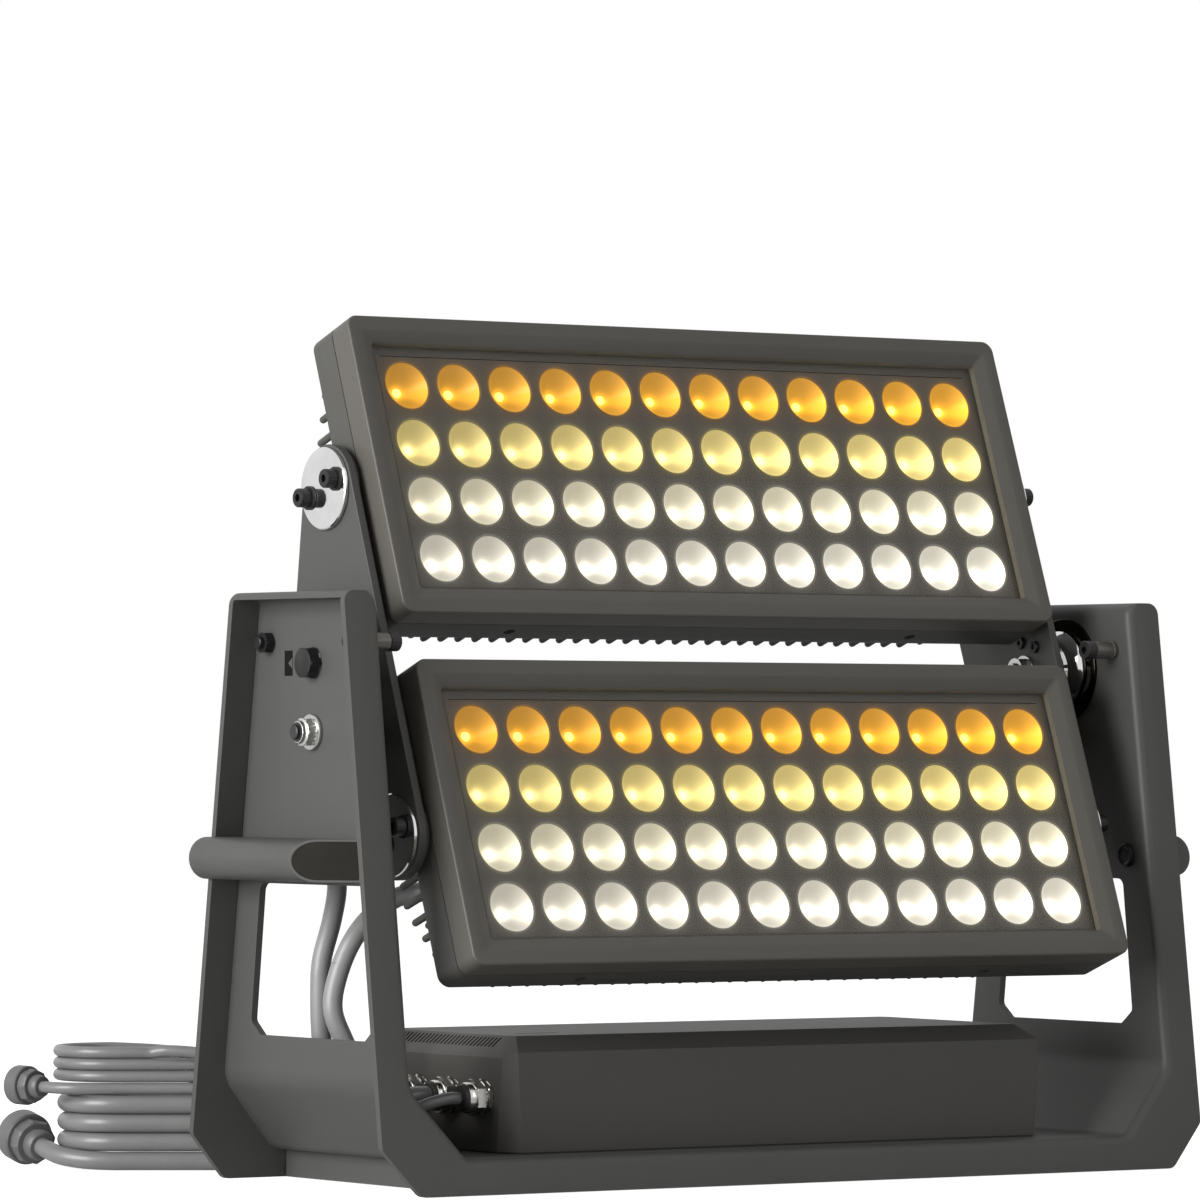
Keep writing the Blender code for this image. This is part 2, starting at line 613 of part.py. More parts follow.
def heatsink(name, axis, material):
    """The rear housing: a shallow cast tray with fins on its back and a round step on each end."""
    rings = []
    for depth in (HOUSING_FLOOR, BEZEL_REAR + GAP):
        rings.append(head_ring(HOUSING_WALL, depth))
    rings.append(head_ring(0.0, BEZEL_REAR + GAP))
    for step in range(3):
        angle = math.radians(45 * step)
        inset = HOUSING_ROUND * (1 - math.cos(angle))
        depth = HOUSING_REAR - HOUSING_ROUND * (1 - math.sin(angle))
        rings.append(head_ring(inset, depth))
    housing = make_object(name + "_heatsink", loft(rings), material, axis)

    extra = bmesh.new()
    pocket = (HEAD_GLAND_U - GLAND_POCKET, HEAD_GLAND_U + GLAND_POCKET)
    for column in range(FIN_COLUMNS):
        x = (column - (FIN_COLUMNS - 1) / 2) * FIN_PITCH
        if abs(x - HEAD_GLAND_X) < GLAND_POCKET:
            fin_plate(x, -FIN_HALF_HEIGHT, pocket[0], extra)
            fin_plate(x, pocket[1], FIN_HALF_HEIGHT, extra)
        else:
            fin_plate(x, -FIN_HALF_HEIGHT, FIN_HALF_HEIGHT, extra)
    r0, r1 = BOSS_RING_X
    step = [(0.266, BOSS_RADIUS, 0), (r0, BOSS_RADIUS, 0), (r0, DISC_RADIUS, 0), (r1, DISC_RADIUS, 0)]
    for side in (LEFT, RIGHT):
        turned([(side * x, r, n) for x, r, n in step], segments=ROUND_SEGMENTS, target=extra)
    combine(housing, make_helper(name + "_fins_and_steps", extra, axis), "UNION")


def pivot_discs(name, axis, material):
    """The polished outer disc at each end of a head, with its two clamp screws.

    Its round boss passes through the arm to the step on the head's end, and turns in the arm.
    """
    x0, x1 = PIVOT_DISC_X
    disc = [(BOSS_RING_X[1] + GAP, BOSS_RADIUS, 0), (x0, BOSS_RADIUS, 0), (x0, DISC_RADIUS - 0.001, 0),
            (x0 + 0.001, DISC_RADIUS, 0), (x1 - 0.001, DISC_RADIUS, 0), (x1, DISC_RADIUS - 0.001, 0)]
    screw = [(x1 - 0.001, 0.008, 0), (x1 + 0.0016, 0.008, 0), (x1 + 0.0016, 0.0065, 0),
             (x1 + 0.0091, 0.0065, 0), (x1 + 0.0096, 0.0060, 0)]
    for end, side in (("left", LEFT), ("right", RIGHT)):
        solid = turned([(side * x, r, n) for x, r, n in disc], segments=ROUND_SEGMENTS)
        item = make_object(f"{name}_pivot_disc_{end}", solid, material, axis)
        screws = bmesh.new()
        for across in (-DISC_BOLT_ACROSS, DISC_BOLT_ACROSS):
            turned([(side * x, r, n) for x, r, n in screw], (0.0, across, 0.0), segments=8, target=screws)
        combine(item, make_helper(f"{name}_disc_screws_{end}", screws, axis), "UNION")


def gland_profile(length):
    """A cable gland from its lock nut to its rubber lip."""
    return [(0.0, 0.0125, 6), (0.003, 0.0125, 6), (0.003, 0.0095, 0), (0.0045, 0.0095, 0), (0.0045, 0.0125, 6),
            (0.0115, 0.0125, 6), (0.0115, 0.0105, 0), (0.0155, 0.0102, 0), (length, 0.0082, 0)]


def head_gland(name, axis, material):
    """The gland on a head's back that its lead goes into."""
    y = HOUSING_REAR + GAP - HEAD_AXIS_DEPTH
    place = (HEAD_GLAND_X, y, HEAD_GLAND_U)
    solid = turned(gland_profile(0.0197), place, (0.0, 1.0, 0.0))
    make_object(name + "_gland", solid, material, axis)


def head(name, arm_axis, along, finishes):
    """One lamp head on its own tilt axis."""
    axis = make_axis(name + "_axis", (0.0, ARM_MID_ACROSS, along), parent=arm_axis)
    bezel(name, axis, finishes["paint"])
    front_glass(name, axis, finishes["glass"])
    lens_plate(name, axis, finishes["reflector"])
    led_board(name, axis, finishes["board"])
    heatsink(name, axis, finishes["casting"])
    pivot_discs(name, axis, finishes["chrome"])
    head_gland(name, axis, finishes["nickel"])


def box_corner(z):
    """How far the box's corner chamfer reaches along X and Y at a height. It narrows upwards."""
    low, high = BOX_CORNER_LOW, BOX_CORNER_SHOULDER
    part = (z - YOKE_BASE_TOP) / (BOX_SHOULDER - YOKE_BASE_TOP)
    if z > BOX_SHOULDER:
        low, high = BOX_CORNER_SHOULDER, BOX_CORNER_TOP
        part = (z - BOX_SHOULDER) / (BOX_TOP - BOX_SHOULDER)
    return tuple(one + (two - one) * part for one, two in zip(low, high))


def box_ring(z, inset=0.0, end_drop=0.0):
    """A ring of the driver box's outline, drawn in above its shoulder, which is lower at the two ends."""
    rise = max(0.0, z - BOX_SHOULDER) / (BOX_TOP - BOX_SHOULDER)
    depth = BOX_HALF_DEPTH - rise * (BOX_HALF_DEPTH - BOX_TOP_DEPTH) - inset
    width = BOX_HALF_WIDTH - rise * (BOX_HALF_WIDTH - BOX_TOP_WIDTH) - inset
    corner_x, corner_y = (size - CORNER_DRAW_IN * inset for size in box_corner(z))
    quarter = [(width, depth - corner_y), (width - corner_x, depth)]
    points = quarter + [(-x, y) for x, y in reversed(quarter)]
    points += [(-x, -y) for x, y in quarter] + [(x, -y) for x, y in reversed(quarter)]
    return [(x, y, z - end_drop if abs(x) > width - corner_x / 2 else z) for x, y in points]


def driver_box(paint, rubber, tray_material, board):
    """Tray, gasket and cover, with the power supply and the control board inside."""
    base = YOKE_BASE_TOP + GAP
    make_object("driver_tray", loft([box_ring(base, TRAY_INSET), box_ring(TRAY_TOP, TRAY_INSET)]),
                tray_material, smooth=False)
    seal = [box_ring(base), box_ring(GASKET_TOP), box_ring(GASKET_TOP, GASKET_WIDTH),
            box_ring(base, GASKET_WIDTH)]
    make_object("driver_gasket", loft(seal, ring_closed=True), rubber, smooth=False)
    low = GASKET_TOP + GAP
    rings = [box_ring(BOX_TOP - BOX_WALL, BOX_WALL), box_ring(BOX_SHOULDER - 0.001, BOX_WALL, BOX_END_DROP),
             box_ring(low, BOX_WALL), box_ring(low), box_ring(BOX_SHOULDER, 0.0, BOX_END_DROP),
             box_ring(BOX_TOP)]
    cover = make_object("driver_cover", loft(rings), paint, smooth=False)
    holes = bmesh.new()
    for y in (DATA_GLAND_Y, POWER_GLAND_Y, LOWER_LEAD_Y, UPPER_LEAD_Y):
        rod(-BOX_HALF_WIDTH - 0.01, -BOX_HALF_WIDTH + 0.01, y, GLAND_Z, GLAND_THREAD_RADIUS + GAP, target=holes)
    combine(cover, make_helper("cover_gland_holes_cut", holes), "DIFFERENCE")
    floor = TRAY_TOP + GAP
    make_object("power_supply", block((-0.060, -0.055, floor), (0.170, 0.055, 0.078)), tray_material,
                smooth=False)
    make_object("control_board", block((-0.175, -0.055, floor + 0.006), (-0.085, 0.055, floor + 0.012)), board,
                smooth=False)


def box_glands(material):
    """The four glands in the box's left end: data, power and one lead for each head."""
    names = (("data_gland", DATA_GLAND_Y), ("power_gland", POWER_GLAND_Y),
             ("lower_lead_gland", LOWER_LEAD_Y), ("upper_lead_gland", UPPER_LEAD_Y))
    start = BOX_HALF_WIDTH + GAP
    for name, y in names:
        thread = [(BOX_HALF_WIDTH - 0.009, GLAND_THREAD_RADIUS, 0), (start, GLAND_THREAD_RADIUS, 0)]
        outer = [(start + along, radius, sides) for along, radius, sides in gland_profile(0.0197)]
        profile = [(-x, r, n) for x, r, n in thread + outer]
        make_object(name, turned(profile, (0.0, y, GLAND_Z)), material)


def smooth_route(points, spacing):
    """Even points on a smooth curve through a route's own points, with a straight stretch at each end."""
    route = [Vector(point) for point in points]
    dense = []
    for index in range(1, len(route) - 2):
        before, start, end, after = route[index - 1:index + 3]
        span = (end - start).length
        leave = (end - before) / ((end - start).length + (start - before).length) * span
        arrive = (after - start) / ((after - end).length + (end - start).length) * span
        for step in range(20):
            t = step / 20
            dense.append((2 * t ** 3 - 3 * t ** 2 + 1) * start + (t ** 3 - 2 * t ** 2 + t) * leave
                         + (3 * t ** 2 - 2 * t ** 3) * end + (t ** 3 - t ** 2) * arrive)
    dense.append(route[-2])
    lengths = [0.0]
    for one, two in zip(dense, dense[1:]):
        lengths.append(lengths[-1] + (two - one).length)
    count = max(2, round(lengths[-1] / spacing))
    even = []
    for step in range(count + 1):
        target = lengths[-1] * step / count
        place = min(max(1, int(np.searchsorted(lengths, target))), len(dense) - 1)
        part = (target - lengths[place - 1]) / (lengths[place] - lengths[place - 1])
        even.append(dense[place - 1].lerp(dense[place], part))
    return [route[0]] + even + [route[-1]]


def make_cord(name, points, diameter, material, resolution=2):
    """A round cord along its points, with closed ends."""
    curve = bpy.data.curves.new(name, "CURVE")
    curve.dimensions = "3D"
    curve.bevel_depth = diameter / 2
    curve.bevel_resolution = resolution
    curve.use_fill_caps = True
    spline = curve.splines.new("POLY")
    spline.points.add(len(points) - 1)
    for target, point in zip(spline.points, points):
        target.co = (*point, 1.0)
    curve.materials.append(material)
    item = bpy.data.objects.new(name, curve)
    bpy.context.scene.collection.objects.link(item)


def route_length(points):
    """The length of a row of points."""
    return sum((Vector(two) - Vector(one)).length for one, two in zip(points, points[1:]))


def least_self_gap(points, diameter):
    """The smallest clear distance between two stretches of one tube."""
    dense = []
    for one, two in zip(points, points[1:]):
        dense += [Vector(one).lerp(Vector(two), step / 6) for step in range(6)]
    rows = np.array([tuple(point) for point in dense])
    along = np.concatenate([[0.0], np.cumsum(np.linalg.norm(np.diff(rows, axis=0), axis=1))])
    apart = np.linalg.norm(rows[:, None] - rows[None, :], axis=2)
    apart[np.abs(along[:, None] - along[None, :]) < 6 * diameter] = 1.0
    return float(apart.min()) - diameter


def hank_place(along, away, z):
    """A place on the hank, along its near side and away from the viewer's side."""
    point = HANK_POINT + HANK_SIDE * along + HANK_AWAY * away
    return Vector((point.x, point.y, z))


def ease(part):
    """A smooth step from 0 to 1."""
    part = min(1.0, max(0.0, part))
    return part * part * (3 - 2 * part)


def hank_points(start, end, left, lowest, step, sag):
    """One unbroken cable in oblong loops, one loop on each level, from the top level down.

    Each loop climbs down a level along its far run. The right-hand ends may lie lower by a sag.
    """
    right = HANK_RIGHT
    middle = HANK_FOLD_RADIUS
    points = []
    for level in reversed(range(HANK_LEVELS)):
        z = lowest + level * step
        first = level == HANK_LEVELS - 1
        last = level == 0
        near_start = start if first else right
        near_end = end if last else left
        stations = [right + (left - right) * index / 5 for index in range(6)]
        between = [along for along in stations if near_end < along < near_start]
        for along in [near_start] + between + [near_end]:
            drop = 0.0 if first else sag * ease((along - 0.070) / (right - 0.070))
            points.append(hank_place(along, 0.0, z - drop))
        if last:
            break
        for index in range(1, 8):
            angle = math.pi * index / 8
            points.append(hank_place(left - middle * math.sin(angle), middle * (1 - math.cos(angle)), z))
        for index in range(6):
            part = index / 5
            lower = z - (step + sag) * ease(part)
            points.append(hank_place(left + (right - left) * part, 2 * middle, lower))
        for index in range(1, 8):
            angle = math.pi * index / 8
            points.append(hank_place(right + middle * math.sin(angle), middle * (1 + math.cos(angle)),
                                     z - step - sag))
    return points


def plug_profile(radius):
    """A cable connector from its back nut to its open front, with an eight-sided grip."""
    body = 0.87 * radius
    nut = 0.60 * radius
    length = 1.9 * radius
    return [(0.0, 0.5 * radius, 0), (0.12 * length, nut, 0), (0.26 * length, nut, 0), (0.26 * length, body, 8),
            (0.55 * length, body, 8), (0.55 * length, 0.9 * radius, 0), (0.60 * length, radius, 0),
            (0.97 * length, radius, 0), (length, 0.96 * radius, 0), (length, 0.80 * radius, 0),
            (0.70 * length, 0.80 * radius, 0), (0.70 * length, 0.55 * radius, 0),
            (0.92 * length, 0.55 * radius, 0)]


def free_cable(name, leave, hank, arrive, diameter, material, plug_radius):
    """A cable from its gland through its hank to its connector."""
    make_cord(name + "_cord", leave, diameter, material)
    make_cord(name + "_hank", hank, diameter, material, resolution=1)
    make_cord(name + "_cord_end", arrive, diameter, material)
    way = (arrive[-1] - arrive[-2]).normalized()
    place = arrive[-1] + way * GAP
    make_object(name + "_connector", turned(plug_profile(plug_radius), place, way, segments=16), material)
    total = route_length(leave) + route_length(hank) + route_length(arrive)
    least = least_self_gap(hank, diameter)
    print(f"{name} cable: length {total:.3f} m, least gap in the hank {least * 1000:.2f} mm")


def power_cable(material):
    """The mains cable, whose hank lies on the floor behind the left leg."""
    top = POWER_LOWEST + (HANK_LEVELS - 1) * POWER_STEP
    hank = hank_points(POWER_HANK_START, HANK_END, POWER_HANK_LEFT, POWER_LOWEST, POWER_STEP, 0.0)
    join = hank_place(POWER_HANK_START, 0.0, top) + HANK_SIDE * GAP
    leave = smooth_route([
        (GLAND_TIP_X - GAP, POWER_GLAND_Y, GLAND_Z), (GLAND_TIP_X - GAP - 0.010, POWER_GLAND_Y, GLAND_Z),
        (-0.2720, -0.0190, 0.0575), (-0.2815, -0.0060, 0.0510),
        (-0.2845, 0.0120, 0.0455), (-0.2810, 0.0370, 0.0405),
        (-0.2745, 0.0640, 0.0345), (-0.2680, 0.0900, 0.0312), (-0.2620, 0.1180, 0.0312),
        (-0.2570, 0.1450, 0.0350), (-0.2575, 0.1680, 0.0415), (-0.2645, 0.1910, 0.0442),
        join + HANK_SIDE * POWER_DIAMETER, join], 2.2 * POWER_DIAMETER / 2)
    floor = hank_place(HANK_END, 0.0, POWER_LOWEST) - HANK_SIDE * GAP
    arrive = smooth_route([
        floor, floor - HANK_SIDE * POWER_DIAMETER, hank_place(-0.0135, 0.0, 0.0064),
        hank_place(-0.0320, 0.0040, 0.0071), hank_place(-0.0480, 0.0140, 0.0092),
        hank_place(-0.0561, 0.0250, 0.0118), hank_place(-0.0620, 0.0352, 0.0143)], 2.2 * POWER_DIAMETER / 2)
    free_cable("power", leave, hank, arrive, POWER_DIAMETER, material, POWER_PLUG_RADIUS)


def data_cable(material):
    """The control cable, whose hank lies on the mains cable's."""
    power_top = POWER_LOWEST + (HANK_LEVELS - 1) * POWER_STEP + POWER_DIAMETER / 2
    lowest = power_top + HANK_CLEARANCE + DATA_DIAMETER / 2
    top = lowest + (HANK_LEVELS - 1) * DATA_STEP
    hank = hank_points(DATA_HANK_START, HANK_END, DATA_HANK_LEFT, lowest, DATA_STEP, DATA_SAG)
    join = hank_place(DATA_HANK_START, 0.0, top) + HANK_SIDE * GAP
    leave = smooth_route([
        (GLAND_TIP_X - GAP, DATA_GLAND_Y, GLAND_Z), (GLAND_TIP_X - GAP - 0.008, DATA_GLAND_Y, GLAND_Z),
        (-0.2700, -0.0590, 0.0565), (-0.2805, -0.0470, 0.0480),
        (-0.2815, -0.0300, 0.0400), (-0.2740, -0.0080, 0.0320),
        (-0.2650, 0.0140, 0.0286), (-0.2550, 0.0400, 0.0286), (-0.2490, 0.0700, 0.0286),
        (-0.2455, 0.1000, 0.0288), (-0.2440, 0.1250, 0.0340), (-0.2470, 0.1500, 0.0500),
        (-0.2540, 0.1740, 0.0665), (-0.2660, 0.1940, 0.0770), (-0.2850, 0.2085, 0.0818),
        (-0.3020, 0.2225, 0.0830), join + HANK_SIDE * DATA_DIAMETER, join], 1.6 * DATA_DIAMETER)
    side = hank_place(HANK_END, 0.0, lowest) - HANK_SIDE * GAP
    arrive = smooth_route([
        side, side - HANK_SIDE * DATA_DIAMETER, hank_place(-0.0323, 0.0, lowest),
        hank_place(-0.0450, 0.0026, lowest), hank_place(-0.0556, 0.0097, lowest + 0.0002),
        hank_place(-0.0615, 0.0156, lowest + 0.0004)], 2.5 * DATA_DIAMETER / 2)
    free_cable("data", leave, hank, arrive, DATA_DIAMETER, material, DATA_PLUG_RADIUS)


def head_gland_tip(along):
    """Where a head's lead leaves its gland, and the way it points, in the world at rest."""
    depth = HOUSING_REAR + GAP + 0.0197 + GAP
    turn = Matrix.Rotation(-TILT, 3, "X")
    local = Vector((HEAD_GLAND_X, ARM_MID_ACROSS + depth - HEAD_AXIS_DEPTH, along + HEAD_GLAND_U))
    return Vector((0.0, 0.0, ARM_AXIS_Z)) + turn @ local, turn @ Vector((0.0, 1.0, 0.0))


def head_leads(material):
    """The lead from each head down to the driver box, past the left leg's window."""
    place, way = head_gland_tip(HEAD_AXIS_ALONG)
    upper = [place, place + way * LEAD_DIAMETER, (-0.2370, 0.0890, 0.4170), (-0.2470, 0.0930, 0.3820),
             (-0.2570, 0.0850, 0.3300), (-0.2630, 0.0690, 0.2650), (-0.2665, 0.0560, 0.2010),
             (-0.2723, 0.0530, 0.1780), (-0.2812, 0.0520, 0.1500), (-0.2821, 0.0525, 0.1275),
             (-0.2806, 0.0530, 0.0985), (-0.2770, 0.0535, 0.0840), (-0.2700, 0.0540, 0.0720),
             (-0.2600, 0.0540, 0.0637), (GLAND_TIP_X - GAP - LEAD_STRAIGHT, UPPER_LEAD_Y, GLAND_Z),
             (GLAND_TIP_X - GAP, UPPER_LEAD_Y, GLAND_Z)]
    make_cord("upper_head_lead", smooth_route(upper, 1.5 * LEAD_DIAMETER), LEAD_DIAMETER, material)
    place, way = head_gland_tip(-HEAD_AXIS_ALONG)
    lower = [place, place + way * 0.010, (-0.2360, -0.0030, 0.1975), (-0.2500, 0.0080, 0.1930),
             (-0.2670, 0.0150, 0.1790), (-0.2800, 0.0190, 0.1605), (-0.2890, 0.0220, 0.1350),
             (-0.2912, 0.0215, 0.1170), (-0.2850, 0.0190, 0.0990), (-0.2765, 0.0170, 0.0830),
             (-0.2650, 0.0155, 0.0695), (GLAND_TIP_X - GAP - LEAD_STRAIGHT, LOWER_LEAD_Y, GLAND_Z),
             (GLAND_TIP_X - GAP, LOWER_LEAD_Y, GLAND_Z)]
    make_cord("lower_head_lead", smooth_route(lower, 1.5 * LEAD_DIAMETER), LEAD_DIAMETER, material)


def build():
    """Builds the whole lamp."""
    clear_scene()
    paint = make_material("grey powder coat", (0.075, 0.074, 0.070), 0.5, 0.2)
    casting = make_material("grey coated casting", (0.060, 0.059, 0.054), 0.55, 0.2)
    black = make_material("black oxide steel", (0.018, 0.018, 0.018), 0.4, 0.8)
    dark = make_material("dark friction lining", (0.030, 0.030, 0.030), 0.7)
    steel = make_material("zinc plated steel", (0.60, 0.60, 0.58), 0.3, 1.0)
    chrome = make_material("polished chrome", (0.80, 0.80, 0.80), 0.08, 1.0)
    nickel = make_material("nickel plated brass", (0.66, 0.65, 0.62), 0.2, 1.0)
    rubber = make_material("black rubber", (0.02, 0.02, 0.02), 0.8)
    sheath = make_material("grey cable sheath", (0.16, 0.16, 0.16), 0.45)
    alloy = make_material("bare aluminium", (0.55, 0.55, 0.56), 0.4, 1.0)
    board = make_material("white circuit board", (0.75, 0.75, 0.72), 0.5)
    reflector = make_material("bright reflector", (0.80, 0.72, 0.55), 0.2, 0.6)
    glass = make_material("cover glass", (0.10, 0.095, 0.08), 0.05)
    yoke_bracket(paint)
    foot_bars(paint)
    handles(paint, black)
    yoke_bolts(black, steel, dark)
    arm_axis = make_axis("arm_axis", (0.0, 0.0, ARM_AXIS_Z), -TILT)
    arms(arm_axis, paint, chrome)
    finishes = {"paint": paint, "glass": glass, "reflector": reflector, "board": board, "casting": casting,
                "chrome": chrome, "nickel": nickel}
    head("upper", arm_axis, HEAD_AXIS_ALONG, finishes)
    head("lower", arm_axis, -HEAD_AXIS_ALONG, finishes)
    driver_box(paint, rubber, alloy, board)
    box_glands(nickel)
    head_leads(sheath)
    power_cable(sheath)
    data_cable(sheath)


build()
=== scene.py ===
"""The looks of an LED wash light with two lamp heads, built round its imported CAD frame."""

import math

import bmesh
import bpy
import numpy as np
from mathutils import Matrix, Vector


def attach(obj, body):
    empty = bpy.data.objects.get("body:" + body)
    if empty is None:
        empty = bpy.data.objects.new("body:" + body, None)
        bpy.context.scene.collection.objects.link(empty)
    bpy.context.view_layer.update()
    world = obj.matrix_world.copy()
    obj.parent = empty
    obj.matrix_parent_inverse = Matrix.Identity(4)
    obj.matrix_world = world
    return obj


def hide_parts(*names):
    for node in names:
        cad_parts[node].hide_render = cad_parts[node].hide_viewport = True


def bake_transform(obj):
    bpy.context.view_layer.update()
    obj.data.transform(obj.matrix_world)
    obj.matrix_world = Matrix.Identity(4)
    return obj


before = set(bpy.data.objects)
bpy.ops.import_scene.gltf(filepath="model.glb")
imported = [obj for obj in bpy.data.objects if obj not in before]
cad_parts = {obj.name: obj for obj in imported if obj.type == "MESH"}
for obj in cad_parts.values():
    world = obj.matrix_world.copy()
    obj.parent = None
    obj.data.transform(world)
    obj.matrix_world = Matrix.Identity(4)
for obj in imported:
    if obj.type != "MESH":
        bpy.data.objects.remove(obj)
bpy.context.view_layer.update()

scene = bpy.context.scene
scene.view_settings.view_transform = "Standard"


# The view: a long lens from the front left, level with the lamp's tilt axis, as in the photograph. The
# camera stands about 5 m away, so the lamp's edges hardly converge.
view_place = Vector((-2.9033, -4.1068, 0.2996))
view_yaw, view_pitch, view_roll = (math.radians(angle) for angle in (34.421, 1.112, 0.178))
view_forward = Vector((math.sin(view_yaw) * math.cos(view_pitch), math.cos(view_yaw) * math.cos(view_pitch),
                       math.sin(view_pitch)))
level_right = Vector((math.cos(view_yaw), -math.sin(view_yaw), 0.0))
level_up = level_right.cross(view_forward)
view_right = level_right * math.cos(view_roll) + level_up * math.sin(view_roll)
view_up = level_up * math.cos(view_roll) - level_right * math.sin(view_roll)
camera_data = bpy.data.cameras.new("photo_view")
camera_data.lens = 217.34
camera_data.clip_end = 50.0
camera = bpy.data.objects.new("photo_view", camera_data)
scene.collection.objects.link(camera)
view_turn = Matrix((view_right, view_up, -view_forward)).transposed().to_4x4()
camera.matrix_world = Matrix.Translation(view_place) @ view_turn
scene.camera = camera


# The two free cables: round grey sheaths, each led out of its gland, over the back of the base and wound
# into a hank of three loops behind the left leg. The thick one carries the mains, the thin one on top the
# control.
def feed(tree, item, inputs):
    """Sets a node's inputs, by name or number, to plain values or to other nodes' outputs."""
    for key, value in inputs.items():
        if isinstance(value, bpy.types.NodeSocket):
            tree.links.new(value, item.inputs[key])
        else:
            item.inputs[key].default_value = value


def add(tree, kind, inputs=None, **settings):
    """A new node in a tree, with its settings and its inputs."""
    item = tree.nodes.new(kind)
    for key, value in settings.items():
        setattr(item, key, value)
    feed(tree, item, inputs or {})
    return item


def calculate(tree, operation, first, second=0.0):
    """One sum on two values or outputs."""
    return add(tree, "ShaderNodeMath", {0: first, 1: second}, operation=operation).outputs["Value"]


def ramp(tree, value, stops, interpolation="LINEAR"):
    """Turns a value into a colour, through stops of (position, colour)."""
    item = add(tree, "ShaderNodeValToRGB", {"Fac": value})
    colours = item.color_ramp
    colours.interpolation = interpolation
    for element, (position, colour) in zip(colours.elements, stops):
        element.position = position
        element.color = (*colour, 1.0)
    for position, colour in stops[2:]:
        colours.elements.new(position).color = (*colour, 1.0)
    return item.outputs["Color"]


def new_material(name, roughness, metallic=0.0, specular=0.5):
    """A material, its node tree and its shader."""
    material = bpy.data.materials.new(name)
    material.use_nodes = True
    tree = material.node_tree
    shader = tree.nodes["Principled BSDF"]
    feed(tree, shader, {"Roughness": roughness, "Metallic": metallic, "Specular IOR Level": specular})
    return material, tree, shader


def mottled(name, dark, light, patch=9.0, grain=900.0, relief=0.12, depth=0.0003, gloss=(0.42, 0.56),
            metallic=0.0, specular=0.5, rub=None):
    """A finish of two close tones in soft patches, with fine grain in its relief and its gloss.

    A rub colour lightens the places where the patches peak, as handling does.
    """
    material, tree, shader = new_material(name, gloss[0], metallic, specular)
    place = add(tree, "ShaderNodeTexCoord").outputs["Object"]
    patches = add(tree, "ShaderNodeTexNoise", {"Vector": place, "Scale": patch, "Detail": 5.0,
                                               "Roughness": 0.62})
    stops = [(0.32, dark), (0.68, light)] + ([(0.8, rub)] if rub else [])
    grains = add(tree, "ShaderNodeTexNoise", {"Vector": place, "Scale": grain, "Detail": 2.0}).outputs["Fac"]
    shine = add(tree, "ShaderNodeMapRange", {"Value": grains, "To Min": gloss[0], "To Max": gloss[1]})
    bumps = add(tree, "ShaderNodeBump", {"Height": grains, "Strength": relief, "Distance": depth})
    feed(tree, shader, {"Base Color": ramp(tree, patches.outputs["Fac"], stops),
                        "Roughness": shine.outputs["Result"], "Normal": bumps.outputs["Normal"]})
    return material


def new_object(name, data):
    """A new object in the scene."""
    item = bpy.data.objects.new(name, data)
    scene.collection.objects.link(item)
    return item


def mesh_of(name, shape):
    """A mesh from a finished shape, which is used up."""
    mesh = bpy.data.meshes.new(name)
    shape.to_mesh(mesh)
    shape.free()
    return mesh


def piece(name, shape, material, body, stands_for=(), smooth=35.0, rounding=0.0):
    """A finished piece from its mesh, riding on a body, in place of the CAD nodes that it stands for."""
    mesh = mesh_of(name, shape) if isinstance(shape, bmesh.types.BMesh) else shape
    mesh.materials.clear()
    mesh.materials.append(material)
    mesh.shade_smooth()
    mesh.set_sharp_from_angle(angle=math.radians(smooth))
    item = new_object(name, mesh)
    if rounding:
        edge = item.modifiers.new("rounded edges", "BEVEL")
        edge.width = rounding
        edge.segments = 2
        edge.limit_method = "ANGLE"
        edge.angle_limit = math.radians(40)
        edge.harden_normals = True
    if body:
        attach(item, body)
    if stands_for:
        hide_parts(*([stands_for] if isinstance(stands_for, str) else stands_for))
    return item


def smooth_route(points, spacing):
    """Even points on a smooth curve through a route's own points."""
    route = [Vector(point) for point in points]
    route = [2 * route[0] - route[1]] + route + [2 * route[-1] - route[-2]]
    dense = []
    for index in range(1, len(route) - 2):
        before, start, end, after = route[index - 1:index + 3]
        span = (end - start).length
        leave = (end - before) / ((end - start).length + (start - before).length) * span
        arrive = (after - start) / ((after - end).length + (end - start).length) * span
        for step in range(12):
            t = step / 12
            dense.append((2 * t ** 3 - 3 * t ** 2 + 1) * start + (t ** 3 - 2 * t ** 2 + t) * leave
                         + (3 * t ** 2 - 2 * t ** 3) * end + (t ** 3 - t ** 2) * arrive)
    dense.append(route[-2])
    lengths = [0.0]
    for one, two in zip(dense, dense[1:]):
        lengths.append(lengths[-1] + (two - one).length)
    count = max(2, round(lengths[-1] / spacing))
    even = []
    for step in range(count + 1):
        target = lengths[-1] * step / count
        spot = min(max(1, int(np.searchsorted(lengths, target))), len(dense) - 1)
        part = (target - lengths[spot - 1]) / max(1e-9, lengths[spot] - lengths[spot - 1])
        even.append(dense[spot - 1].lerp(dense[spot], part))
    return even


